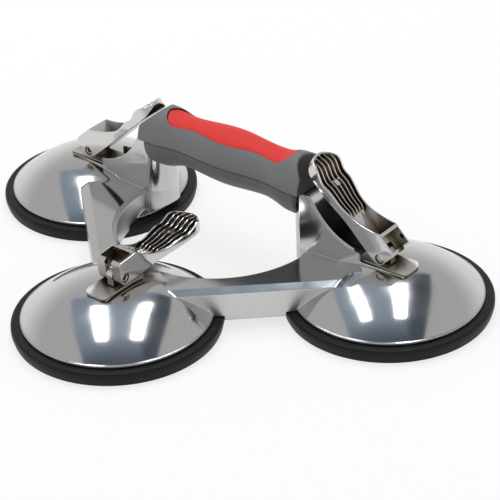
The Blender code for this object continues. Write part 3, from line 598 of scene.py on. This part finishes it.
aluminium = polished_aluminium()
casting_parts = [arms_piece(), post_piece(-1), post_piece(1), saddle_piece()]
casting_parts += [cup_piece(letter) for letter in CUPS]
casting_parts.append(block("beam", BEAM_LOW, BEAM_HIGH))
casting = join_pieces("casting", casting_parts, aluminium, "frame")
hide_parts("frame_casting")


# Grip
# Two moulded nylon shells screwed together round the beam, with a red soft insert in the crown.
# The upper shell overhangs the posts; the lower one swells at its ends and clasps their noses.
GRIP_UPPER_END = 0.0600
GRIP_LOWER_END = 0.0555
GRIP_HALF_WIDTH = 0.0170
GRIP_CROWN = ((0.0, 0.0166), (0.0366, 0.0142), (0.0552, 0.0169), (0.0618, 0.0172))
GRIP_BELLY = ((0.0, 0.0165), (0.0289, 0.0149), (0.0522, 0.0192), (0.0561, 0.0195))
END_LEAN = math.radians(41.25)
END_PIN_Z = 0.034367
END_CLEARANCE = 0.0062
UPPER_SHELL_GREY = "#6B6D6D"
# The lower shell is the same nylon as the upper. Its darker grey is painted shade for the grip's underside.
LOWER_SHELL_SHADED_GREY = "#5C5D5D"
# Painted shade: the upper shell's leaning end faces are coloured near-black for their shadow beside the
# levers.
SHELL_END_PAINTED_SHADE = "#2F2F31"
INSERT_RED = "#DD2720"


def read_between(x, stations):
    """Read a value between stations given as (x, value), smoothly."""
    if x <= stations[0][0]:
        return stations[0][1]
    for (x0, first), (x1, last) in zip(stations, stations[1:]):
        if x <= x1:
            t = (x - x0) / (x1 - x0)
            return first + (last - first) * t * t * (3 - 2 * t)
    return stations[-1][1]


def grip_sizes(x):
    """Half-width, crown and belly of the grip at a place along it."""
    crown = read_between(abs(x), GRIP_CROWN)
    belly = read_between(abs(x), GRIP_BELLY)
    return min((crown + belly) / 2, GRIP_HALF_WIDTH), crown, belly


def lean_end(z):
    """How far the upper shell reaches at a height: its end leans with lever A, clear of it."""
    away = ((z - END_PIN_Z) * math.cos(END_LEAN) + END_CLEARANCE) / math.sin(END_LEAN)
    return min(GRIP_UPPER_END, CUP_SPAN / 2 - away)


def shell_ring(share, shrink, upper):
    """One ring of a shell: share is its place from end to end, shrink draws it in round the edge."""
    steps = 48
    ring = []
    for i in range(steps + 1):
        angle = math.pi * i / steps
        reach = GRIP_UPPER_END if upper else GRIP_LOWER_END
        width, crown, belly = grip_sizes(share * reach)
        height = (crown if upper else belly) - shrink
        y = (width - shrink) * math.cos(angle)
        z = height * math.sin(angle) + GAP / 2
        if upper:
            ring.append((share * lean_end(GRIP_Z + z), HANDLE_Y + y, GRIP_Z + z))
        else:
            corner = 0.009
            floor = GRIP_BELLY[-1][1]
            depth = max(0.0, z - (floor - corner))
            end = reach - corner + math.sqrt(max(0.0, corner ** 2 - depth ** 2))
            ring.append((share * end, HANDLE_Y + y, GRIP_Z - z))
    edge = 0.0004
    seam = GRIP_Z + GAP / 2 if upper else GRIP_Z - GAP / 2
    lift = edge if upper else -edge
    first, last = ring[0], ring[-1]
    ring[0] = (first[0], first[1], seam + lift)
    ring[-1] = (last[0], last[1], seam + lift)
    return [*ring, (last[0], last[1] + edge, seam), (first[0], first[1] - edge, seam)]


def shell_rings(bm, upper):
    """A grip shell, solid: closely spaced rings round the edge of each end."""
    fillet = 0.0012
    reach = GRIP_UPPER_END if upper else GRIP_LOWER_END
    body = [(1 - fillet / reach) * (1 - i / 40) for i in range(1, 40)]
    half = [(1 - fillet * (1 - math.cos(t)) / reach, fillet * (1 - math.sin(t)))
            for t in (math.pi / 2 * i / 5 for i in range(6))]
    right = half + [(share, 0.0) for share in body]
    stations = right + [(0.0, 0.0)] + [(-share, shrink) for share, shrink in reversed(right)]
    loft_rings(bm, [shell_ring(share, shrink, upper) for share, shrink in stations])


def moulded_nylon(name, colour, end_shade_colour):
    """Glass-filled nylon from a spark-eroded mould: a fine satin grain, and painted shade in a darker colour
    on its end faces.
    """
    material, tree, shader = start_material(name)
    shader.inputs["IOR"].default_value = 1.53
    place = add_node(tree, "ShaderNodeTexCoord")
    # The eroded grain, about 0.05 mm, is drawn 0.45 mm to show. The tone drifts over 17 mm.
    grain = add_node(tree, "ShaderNodeTexNoise", {"Scale": 2200.0, "Detail": 2.0},
                     Vector=place.outputs["Object"])
    cloud = add_node(tree, "ShaderNodeTexNoise", {"Scale": 60.0, "Detail": 3.0},
                     Vector=place.outputs["Object"])
    tone = add_node(tree, "ShaderNodeMapRange", {"To Min": 0.94, "To Max": 1.06}, Value=cloud.outputs["Fac"])
    # Painted shade: faces turned along the grip take the end colour, standing in for the shadow on the
    # shell's ends.
    facing = add_node(tree, "ShaderNodeSeparateXYZ", None, Vector=place.outputs["Normal"])
    along = add_node(tree, "ShaderNodeMath", {"operation": "ABSOLUTE"}, Value=facing.outputs["X"])
    end = add_node(tree, "ShaderNodeMapRange", {"From Min": 0.45, "From Max": 0.62},
                   Value=along.outputs["Value"])
    sides = add_node(tree, "ShaderNodeMix", {"data_type": "RGBA"}, Factor=end.outputs["Result"])
    sides.inputs[COLOUR_A].default_value = linear(colour)
    sides.inputs[COLOUR_B].default_value = linear(end_shade_colour)
    tinted = add_node(tree, "ShaderNodeVectorMath", {"operation": "SCALE"}, Scale=tone.outputs["Result"])
    tree.links.new(sides.outputs[COLOUR_OUT], tinted.inputs[0])
    tree.links.new(tinted.outputs["Vector"], shader.inputs["Base Color"])
    rough = add_node(tree, "ShaderNodeMapRange", {"To Min": 0.50, "To Max": 0.62}, Value=grain.outputs["Fac"])
    tree.links.new(rough.outputs["Result"], shader.inputs["Roughness"])
    bump = add_node(tree, "ShaderNodeBump", {"Strength": 0.12, "Distance": 0.0001},
                    Height=grain.outputs["Fac"])
    tree.links.new(bump.outputs["Normal"], shader.inputs["Normal"])
    return material


INSERT_HALF_LENGTH = 0.047
INSERT_MIDDLE = 0.0106
INSERT_WAIST = 0.0074
INSERT_EAR = 0.0089
INSERT_TIP = 0.0002
INSERT_EDGE = 0.0006
INSERT_PROUD = 0.0003
INSERT_DEPTH = 0.0018
RECESS_PLAY = 0.0002
RECESS_DEPTH = 0.0021
WAIST_SHARE = 0.56
EAR_SHARE = 0.84


def insert_half_width(share):
    """Half-width of the insert at a share of its half-length: wide, waisted, eared and then round."""
    if share <= WAIST_SHARE:
        swing = math.cos(math.pi * share / WAIST_SHARE)
        return (INSERT_MIDDLE + INSERT_WAIST) / 2 + (INSERT_MIDDLE - INSERT_WAIST) / 2 * swing
    if share <= EAR_SHARE:
        swing = math.cos(math.pi * (share - WAIST_SHARE) / (EAR_SHARE - WAIST_SHARE))
        return (INSERT_EAR + INSERT_WAIST) / 2 - (INSERT_EAR - INSERT_WAIST) / 2 * swing
    along = min(1.0, (share - EAR_SHARE) / (1 - EAR_SHARE))
    return INSERT_TIP + (INSERT_EAR - INSERT_TIP) * (1 - along ** 2.2) ** 0.75


def insert_rings(bm, grow, bottom, proud, top=None):
    """The insert as a strip laid on the crown, whose two faces follow it. A level top makes a cutter."""
    rings = []
    steps = 96
    for i in range(steps + 1):
        share = -1 + 2 * i / steps
        x = share * (INSERT_HALF_LENGTH + grow)
        half = insert_half_width(abs(share)) + grow
        width, crown, _ = grip_sizes(x)
        across = 20
        upper = []
        for j in range(across + 1):
            y = half * (1 - 2 * j / across)
            rise = crown * math.sqrt(1 - (y / width) ** 2)
            edge = min(1.0, (half - abs(y)) / INSERT_EDGE)
            lift = proud * math.sqrt(max(0.0, 1 - (1 - edge) ** 2))
            z = GRIP_Z + rise + lift if top is None else top
            upper.append((x, HANDLE_Y + y, z))
        lower = [(x, p[1], GRIP_Z + crown * math.sqrt(1 - ((p[1] - HANDLE_Y) / width) ** 2) - bottom)
                 for p in reversed(upper)]
        rings.append(upper + lower)
    loft_rings(bm, rings)


def soft_red_rubber():
    """Thermoplastic rubber moulded over the crown: matt, slightly grippy, faintly mottled."""
    material, tree, shader = start_material("soft_red_rubber")
    shader.inputs["IOR"].default_value = 1.48
    shader.inputs["Roughness"].default_value = 0.62
    place = add_node(tree, "ShaderNodeTexCoord")
    # The mottling is about 22 mm wide. The mould's grain, about 0.05 mm, is drawn 0.56 mm to show.
    cloud = add_node(tree, "ShaderNodeTexNoise", {"Scale": 45.0, "Detail": 4.0},
                     Vector=place.outputs["Object"])
    tone = add_node(tree, "ShaderNodeMapRange", {"To Min": 0.95, "To Max": 1.05}, Value=cloud.outputs["Fac"])
    tinted = add_node(tree, "ShaderNodeVectorMath", {"operation": "SCALE"}, Scale=tone.outputs["Result"])
    tinted.inputs[0].default_value = linear(INSERT_RED)[:3]
    tree.links.new(tinted.outputs["Vector"], shader.inputs["Base Color"])
    grain = add_node(tree, "ShaderNodeTexNoise", {"Scale": 1800.0, "Detail": 2.0},
                     Vector=place.outputs["Object"])
    bump = add_node(tree, "ShaderNodeBump", {"Strength": 0.15, "Distance": 0.0001},
                    Height=grain.outputs["Fac"])
    tree.links.new(bump.outputs["Normal"], shader.inputs["Normal"])
    return material


upper_shell = solid_from("upper_shell", lambda bm: shell_rings(bm, True))
recess = solid_from("recess", lambda bm: insert_rings(bm, RECESS_PLAY, RECESS_DEPTH, 0.0, ABOVE_ALL))
cut_together(upper_shell, recess, "DIFFERENCE")
upper_shell = join_pieces("upper_shell_moulding", [upper_shell],
                          moulded_nylon("upper_shell_nylon", UPPER_SHELL_GREY, SHELL_END_PAINTED_SHADE), "frame")
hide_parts("grip_upper_shell")
lower_shell = solid_from("lower_shell", lambda bm: shell_rings(bm, False))
nose = [(0.0, GRIP_Z), (POST_RADIUS + GAP, GRIP_Z), (POST_RADIUS + GAP, 0.0), (0.0, 0.0)]
for nose_x in (-0.060, 0.060):
    cutter = solid_from("nose", lambda bm: turned(bm, nose, (nose_x, HANDLE_Y), 96))
    cut_together(lower_shell, cutter, "DIFFERENCE")
lower_shell = join_pieces("lower_shell_moulding", [lower_shell],
                          moulded_nylon("lower_shell_nylon", LOWER_SHELL_SHADED_GREY, LOWER_SHELL_SHADED_GREY), "frame")
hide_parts("grip_lower_shell")
insert = solid_from("insert", lambda bm: insert_rings(bm, 0.0, INSERT_DEPTH, INSERT_PROUD))
insert = join_pieces("crown_insert", [insert], soft_red_rubber(), "frame")
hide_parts("grip_insert")


# Suction pads
# Moulded black rubber discs held under the cups: a flat ring shows round each dome.
# The edge is rounded above, steps in by half a millimetre and tapers to the sealing lip.
PAD_RECESS_Z = 0.0066
PAD_EDGE = 0.0018
PAD_LAND = 0.0098
PAD_HOLLOW = 0.0025


def pad_rings(bm, centre):
    """One pad: a recess for its steel disc above, a sealing land and a shallow hollow below."""
    outer = [(0.0, PAD_RECESS_Z), (0.0228, PAD_RECESS_Z), (0.0232, PAD_HEIGHT), (0.0552, PAD_HEIGHT)]
    outer += arc_points((PAD_RADIUS - PAD_EDGE, PAD_HEIGHT - PAD_EDGE), PAD_EDGE, 80.0, 0.0, 8)
    outer += [(PAD_RADIUS, 0.0043), (PAD_RADIUS - 0.0003, 0.0040), (PAD_RADIUS - 0.0005, 0.0036),
              (PAD_RADIUS - 0.0008, 0.0012), (PAD_RADIUS - 0.0012, 0.0003), (PAD_RADIUS - 0.0018, 0.0)]
    land = PAD_RADIUS - PAD_LAND
    outer += [(land + 0.0040, 0.0), (land + 0.0037, 0.0004), (land + 0.0030, 0.0004), (land + 0.0027, 0.0)]
    outer += [(land, 0.0)]
    for i in range(1, 9):
        share = 1 - i / 8
        outer.append((land * share, PAD_HOLLOW * math.sqrt(1 - share ** 2)))
    turned(bm, outer, centre, 180)


def pad_rubber():
    """Natural rubber, black with soot: satin, with a faint bloom where it has been handled."""
    material, tree, shader = start_material("black_pad_rubber")
    shader.inputs["IOR"].default_value = 1.52
    shader.inputs["Specular IOR Level"].default_value = 0.20
    place = add_node(tree, "ShaderNodeTexCoord")
    # The bloom lies in patches of about 12 mm. The fine grain is drawn 0.67 mm wide to show.
    cloud = add_node(tree, "ShaderNodeTexNoise", {"Scale": 80.0, "Detail": 5.0},
                     Vector=place.outputs["Object"])
    tone = add_node(tree, "ShaderNodeMix", {"data_type": "RGBA"}, Factor=cloud.outputs["Fac"])
    tone.inputs[COLOUR_A].default_value = linear("#0A0A0B")
    tone.inputs[COLOUR_B].default_value = linear("#131314")
    tree.links.new(tone.outputs[COLOUR_OUT], shader.inputs["Base Color"])
    rough = add_node(tree, "ShaderNodeMapRange", {"To Min": 0.38, "To Max": 0.58}, Value=cloud.outputs["Fac"])
    tree.links.new(rough.outputs["Result"], shader.inputs["Roughness"])
    grain = add_node(tree, "ShaderNodeTexNoise", {"Scale": 1500.0, "Detail": 2.0},
                     Vector=place.outputs["Object"])
    bump = add_node(tree, "ShaderNodeBump", {"Strength": 0.08, "Distance": 0.0001},
                    Height=grain.outputs["Fac"])
    tree.links.new(bump.outputs["Normal"], shader.inputs["Normal"])
    return material


rubber = pad_rubber()
for letter, centre in CUPS.items():
    pad = join_pieces(f"rubber_pad_{letter}", [solid_from("pad", lambda bm: pad_rings(bm, centre))],
                      rubber, "frame")
    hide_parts(f"suction_pad_{letter}")


# Levers
# Zinc die castings, nickel plated: a fork with two cams, a small box between its cheeks,
# an open channel and a ribbed thumb pad.  Each turns on its pin; the rims are thin and bright.
LEVER_LENGTH = 0.068
LEVER_HALF_WIDTH = 0.0085
THUMB_HALF_WIDTH = 0.0110
THUMB_CENTRE = LEVER_LENGTH - THUMB_HALF_WIDTH
LEVER_TOP = 0.0105
LEVER_RIM = 0.0012
LEVER_DIP = 0.0360
LEVER_WAVE = ((LEVER_DIP, -0.0006), (0.0465, 0.0002), (0.0515, -0.0006), (0.0605, 0.0020), (0.0680, -0.0002))
WEB_FRONT = 0.0110
WEB_BACK = 0.0089
BOX_BACK = -0.0012
BOX_FLOOR = 0.0043
CHANNEL_FLOOR = -0.0028
GROOVE_DEPTH = 0.0026
LEVER_BLUNT = 0.0012
LEVER_THINNEST = 0.0012
LEVER_SWOOP = 1.9
THUMB_SPREAD = (0.024, 0.052)
FLOOR_RISE = (0.026, 0.034)
RIM_FALL = ((0.0, 1.0), (0.00012, 0.80), (0.00030, 0.12), (0.00050, 0.0))
RIB_FALL = ((0.0, 1.0), (0.00020, 0.98), (0.00038, 0.70), (0.00056, 0.20), (0.00080, 0.0))
RIB_PITCH = 0.00263
RIB_START = (0.0250, 0.0320)
RIB_HEIGHT = 0.93
RIBS_PER_SIDE = 3
SPOT_PLACE = 0.0485
SPOT_RADIUS = 0.0020
LEVER_BORE = 0.0029
SLOT_HALF = 0.0025
FORK_DEPTH = 0.0046
TILTS = {"a": math.radians(41.25), "b": math.radians(5.0), "c": math.radians(45.0)}
CAM_UPRIGHT = 0.0034
CAM_FLAT = 0.0050
CAM_RISE = (CAM_FLAT - CAM_UPRIGHT) / (math.pi / 2)


def read_straight(x, stations):
    """Read a value between stations given as (x, value), on straight lines."""
    if x <= stations[0][0]:
        return stations[0][1]
    for (x0, first), (x1, last) in zip(stations, stations[1:]):
        if x <= x1:
            return first + (last - first) * (x - x0) / (x1 - x0)
    return stations[-1][1]


def ease(x, start, end):
    """Go from 0 to 1 smoothly between start and end."""
    t = min(1.0, max(0.0, (x - start) / (end - start)))
    return t * t * (3 - 2 * t)


def pin_height(letter):
    """Height at which a lever's pin rests on its cams."""
    return PLATE_TOP_Z + GAP + CAM_FLAT - CAM_RISE * TILTS[letter]


def pivot_matrix(letter, tilted=True):
    """Frame of a lever: X runs from the pin to the tip, Z points to its outer side."""
    place = cup_matrix(letter) @ Matrix.Translation((0.0, 0.0, pin_height(letter)))
    return place @ Matrix.Rotation(-TILTS[letter], 4, "Y") if tilted else place


def lever_back(u):
    """Underside of the lever: the cam, a straight back and a lifted tip."""
    points = []
    for i in range(25):
        turn = math.pi / 2 * i / 24
        reach = CAM_UPRIGHT + CAM_RISE * turn
        angle = math.pi + turn
        points.append((reach * math.cos(angle) - CAM_RISE * math.sin(angle),
                       reach * math.sin(angle) + CAM_RISE * math.cos(angle)))
    points += [(0.0170, -0.0052), (0.0600, -0.0052), (0.0628, -0.0050), (0.0650, -0.0042),
               (0.0668, -0.0028), (0.0680, -0.0010)]
    return read_straight(u, points)


def lever_rim(u):
    """Outer edge of the lever: high at the box, swooping down the channel, waved at the thumb."""
    if u <= WEB_FRONT:
        return LEVER_TOP - (LEVER_BLUNT - min(LEVER_BLUNT, max(0.0, u + CAM_UPRIGHT)))
    low = LEVER_WAVE[0][1]
    if u <= LEVER_DIP:
        return low + (LEVER_TOP - low) * ((LEVER_DIP - u) / (LEVER_DIP - WEB_FRONT)) ** LEVER_SWOOP
    return read_between(u, LEVER_WAVE)


def lever_half(u):
    """Half-width of the lever: parallel at the pin, wider and round at the thumb."""
    if u <= THUMB_CENTRE:
        return LEVER_HALF_WIDTH + (THUMB_HALF_WIDTH - LEVER_HALF_WIDTH) * ease(u, *THUMB_SPREAD)
    return math.sqrt(max(0.0, THUMB_HALF_WIDTH ** 2 - (u - THUMB_CENTRE) ** 2))


def inside_rim(u, w):
    """Distance from the inner edge of the rim, positive inside."""
    if u <= THUMB_CENTRE:
        return lever_half(u) - LEVER_RIM - abs(w)
    return THUMB_HALF_WIDTH - LEVER_RIM - math.hypot(u - THUMB_CENTRE, w)


def outer_face(u, w):
    """Outer surface of the lever: rim, box, web, channel and ribs."""
    rim = lever_rim(u)
    wall = read_straight(inside_rim(u, w), RIM_FALL)
    if u < BOX_BACK or WEB_BACK < u < WEB_FRONT:
        floor = rim
    elif u <= WEB_BACK:
        floor = BOX_FLOOR
    else:
        floor = CHANNEL_FLOOR + (rim - GROOVE_DEPTH - CHANNEL_FLOOR) * ease(u, *FLOOR_RISE)
    spread = lever_half(min(u, THUMB_CENTRE)) / LEVER_HALF_WIDTH
    across = abs(w) / (RIB_PITCH * spread)
    off_rib = abs(across - round(across)) * RIB_PITCH
    rib = read_straight(off_rib, RIB_FALL)
    rib *= ease(u, *RIB_START) * RIB_HEIGHT if round(across) < RIBS_PER_SIDE else 0.0
    spot = RIB_HEIGHT - RIB_HEIGHT * ease(math.hypot(u - SPOT_PLACE, w), SPOT_RADIUS, SPOT_RADIUS + 0.0004)
    return floor + (rim - floor) * max(wall, rib, spot)


def lever_ring(u):
    """One cross-section of the lever, from the back's left corner round to the outer face."""
    half = max(lever_half(u), 0.0004)
    rim = lever_rim(u)
    back = min(lever_back(u), rim - LEVER_THINNEST)
    soft = min(0.0006, half * 0.4)
    inner = half - LEVER_RIM if u <= THUMB_CENTRE else math.sqrt(
        max(0.0, (THUMB_HALF_WIDTH - LEVER_RIM) ** 2 - (u - THUMB_CENTRE) ** 2))
    inner = max(inner, half * 0.3)
    spread = lever_half(min(u, THUMB_CENTRE)) / LEVER_HALF_WIDTH
    offs = {way * off for off, _ in RIB_FALL for way in (-1, 1)}
    features = [0.0]
    for rib in range(RIBS_PER_SIDE):
        centre = rib * RIB_PITCH * spread
        features += [centre + off * spread for off in offs if centre + off * spread > 0.0]
    foot = inner - min(0.0005, inner * 0.4)
    right = [min(w, foot * (0.90 + 0.005 * i)) for i, w in enumerate(sorted(features))]
    right += [foot, inner - min(0.0003, inner * 0.3), inner - min(0.00012, inner * 0.12), inner]
    right = [(w, outer_face(u, w)) for w in right]
    edge = min(0.0004, (half - inner) * 0.4)
    right += [(half - edge, rim), (half - edge * 0.3, rim - edge * 0.3), (half, rim - edge)]
    right += [(half, back + soft), (half - soft * 0.3, back + soft * 0.3), (half - soft, back)]
    left = [(-w, v) for w, v in reversed(right[1:])]
    return [(u, w, v) for w, v in left + right]


def lever_body(bm):
    """Loft the lever through closely spaced cross-sections where its walls stand up."""
    hair = 0.00006
    stations = [-0.0034, -0.0033, -0.0030, -0.0026, -0.0022, -0.0018, BOX_BACK - hair, BOX_BACK + hair]
    stations += [BOX_BACK + (WEB_BACK - BOX_BACK) * i / 6 for i in range(1, 6)]
    stations += [WEB_BACK - hair, WEB_BACK + hair, WEB_FRONT - hair, WEB_FRONT + hair]
    stations += [WEB_FRONT + (0.027 - WEB_FRONT) * i / 14 for i in range(1, 14)]
    stations += [0.027 + (THUMB_CENTRE - 0.027) * i / 50 for i in range(50)]
    stations += [THUMB_CENTRE + THUMB_HALF_WIDTH * math.sin(math.radians(88 * i / 24)) for i in range(25)]
    loft_rings(bm, [lever_ring(u) for u in stations])


def nickel_plate(name, bright, smooth, hazy):
    """Nickel plate: a slightly warm mirror between two roughnesses, with painted shade, dark brown, in its
    hollows.
    """
    material, tree, shader = start_material(name)
    shader.inputs["Metallic"].default_value = 1.0
    place = add_node(tree, "ShaderNodeTexCoord")
    # The barrel-polished casting under the plate waves over about 6 mm.
    waves = add_node(tree, "ShaderNodeTexNoise", {"Scale": 160.0, "Detail": 2.0},
                     Vector=place.outputs["Object"])
    # Painted shade: the colour turns dark brown where ambient occlusion finds the box, the channel and the
    # trough.
    hollow = add_node(tree, "ShaderNodeAmbientOcclusion", {"samples": 8, "Distance": 0.012})
    painted_shade_mask = add_node(tree, "ShaderNodeMapRange", {"From Min": 0.30, "From Max": 0.80},
                    Value=hollow.outputs["AO"])
    tone = add_node(tree, "ShaderNodeMix", {"data_type": "RGBA"}, Factor=painted_shade_mask.outputs["Result"])
    tone.inputs[COLOUR_A].default_value = linear("#75654C")
    tone.inputs[COLOUR_B].default_value = linear(bright)
    tree.links.new(tone.outputs[COLOUR_OUT], shader.inputs["Base Color"])
    haze = add_node(tree, "ShaderNodeMapRange", {"To Min": smooth, "To Max": hazy},
                    Value=waves.outputs["Fac"])
    tree.links.new(haze.outputs["Result"], shader.inputs["Roughness"])
    bump = add_node(tree, "ShaderNodeBump", {"Strength": 0.10, "Distance": 0.0004},
                    Height=waves.outputs["Fac"])
    tree.links.new(bump.outputs["Normal"], shader.inputs["Normal"])
    return material


nickel = nickel_plate("bright_nickel_plate", "#CFCECD", 0.06, 0.16)
bore_profile = [(0.0, ABOVE_ALL), (LEVER_BORE, ABOVE_ALL), (LEVER_BORE, -ABOVE_ALL), (0.0, -ABOVE_ALL)]
for letter in CUPS:
    lever = solid_from("lever", lever_body)
    fork = block("fork", (-ABOVE_ALL, -SLOT_HALF, -ABOVE_ALL), (FORK_DEPTH, SLOT_HALF, ABOVE_ALL))
    cut_together(lever, fork, "DIFFERENCE")
    bore = solid_from("bore", lambda bm: turned(bm, bore_profile, steps=48))
    bore.matrix_world = Matrix.Rotation(math.pi / 2, 4, "X")
    cut_together(lever, bore, "DIFFERENCE")
    lever.matrix_world = pivot_matrix(letter)
    lever = join_pieces(f"lever_casting_{letter}", [lever], nickel, f"lever_{letter}")
    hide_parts(f"lever_{letter}")


# Saddle plates
# Hard steel troughs, pressed and nickel plated, that lie in the casting's saddles under the cams.
# Each has a slot for its eye bolt, blunt corners and a rounded edge.
PLATE_HALF_WIDTH = 0.0082
PLATE_CORNER = 0.0034
PLATE_SLOT_HALF = 0.0041


def plate_sheet(bm):
    """The plate as rings across it, narrower at its blunt corners."""
    corner = PLATE_CORNER
    stations = [-PLATE_HALF_LENGTH + corner * (1 - math.cos(math.radians(90 * i / 8))) for i in range(9)]
    stations += [-PLATE_HALF_LENGTH + corner + (PLATE_HALF_LENGTH - corner) * i / 12 for i in range(1, 13)]
    stations += [-u for u in reversed(stations[:-1])]
    rings = []
    for u in stations:
        into = max(0.0, abs(u) - (PLATE_HALF_LENGTH - corner))
        half = PLATE_HALF_WIDTH - corner + math.sqrt(max(0.0, corner ** 2 - into ** 2))
        round_off = 0.0002
        count = 28
        spots = [(-half + round_off) + 2 * (half - round_off) * i / count for i in range(count + 1)]
        upper = [(u, w, trough_height(w, 0.0)) for w in spots]
        lower = [(u, w, trough_height(w, PLATE_THICKNESS)) for w in reversed(spots)]
        side = trough_height(half, PLATE_THICKNESS * 0.25)
        under = trough_height(half, PLATE_THICKNESS * 0.75)
        rings.append(upper + [(u, half, side), (u, half, under)] + lower
                     + [(u, -half, under), (u, -half, side)])
    loft_rings(bm, rings)


dull_nickel = nickel_plate("dull_nickel_plate", "#B0ABA5", 0.30, 0.40)
for letter in CUPS:
    plate = solid_from("plate", plate_sheet)
    slot = block("slot", (-PLATE_SLOT_HALF, -SLOT_HALF, 0.0), (PLATE_SLOT_HALF, SLOT_HALF, ABOVE_ALL))
    cut_together(plate, slot, "DIFFERENCE")
    plate.matrix_world = cup_matrix(letter)
    plate = join_pieces(f"saddle_plate_{letter}", [plate], dull_nickel, "frame")
    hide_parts(f"cam_plate_{letter}")


# Pins, eye bolts, discs and screws
# Tubular rivets hold the levers: one end is a flat head, the other is hollow and rolled over.
# The eye bolts, the discs under them and the two grip screws are zinc-plated steel.
PIN_RADIUS = 0.0025


def rivet_profile():
    """Half of a pin's outline from its flat head to its hollow end."""
    reach = LEVER_HALF_WIDTH - GAP
    head = [(0.0, reach + 0.0002), (0.0011, reach + 0.00018), (0.0020, reach + 0.00008),
            (PIN_RADIUS, reach - 0.0003)]
    tail = [(PIN_RADIUS, -reach + 0.0004), (0.0023, -reach + 0.0001), (0.0020, -reach),
            (0.0017, -reach + 0.0002), (0.0015, -reach + 0.0006), (0.0015, -reach + 0.0036),
            (0.0, -reach + 0.0042)]
    return head + tail


def zinc_steel():
    """Turned steel with a bright zinc coat: fine marks and a dull lustre."""
    material, tree, shader = start_material("zinc_coated_steel")
    shader.inputs["Metallic"].default_value = 1.0
    shader.inputs["Base Color"].default_value = linear("#BDBBB6")
    place = add_node(tree, "ShaderNodeTexCoord")
    # The turning marks, about 0.1 mm, are drawn 1.4 mm wide to show.
    marks = add_node(tree, "ShaderNodeTexNoise", {"Scale": 700.0, "Detail": 4.0},
                     Vector=place.outputs["Object"])
    rough = add_node(tree, "ShaderNodeMapRange", {"To Min": 0.18, "To Max": 0.36}, Value=marks.outputs["Fac"])
    tree.links.new(rough.outputs["Result"], shader.inputs["Roughness"])
    bump = add_node(tree, "ShaderNodeBump", {"Strength": 0.15, "Distance": 0.0001},
                    Height=marks.outputs["Fac"])
    tree.links.new(bump.outputs["Normal"], shader.inputs["Normal"])
    return material


steel = zinc_steel()
for letter in CUPS:
    rivet = solid_from("rivet", lambda bm: turned(bm, rivet_profile(), steps=48))
    rivet.matrix_world = pivot_matrix(letter, False) @ Matrix.Rotation(-math.pi / 2, 4, "X")
    rivet = join_pieces(f"pivot_rivet_{letter}", [rivet], steel, f"puller_{letter}")
    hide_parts(f"pivot_pin_{letter}")
bare_nodes = [f"{kind}_{letter}" for kind in ("eye_bolt", "backing_disc") for letter in CUPS]
for node in bare_nodes + ["grip_screw_a", "grip_screw_c"]:
    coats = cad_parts[node].data.materials
    coats.clear()
    coats.append(steel)
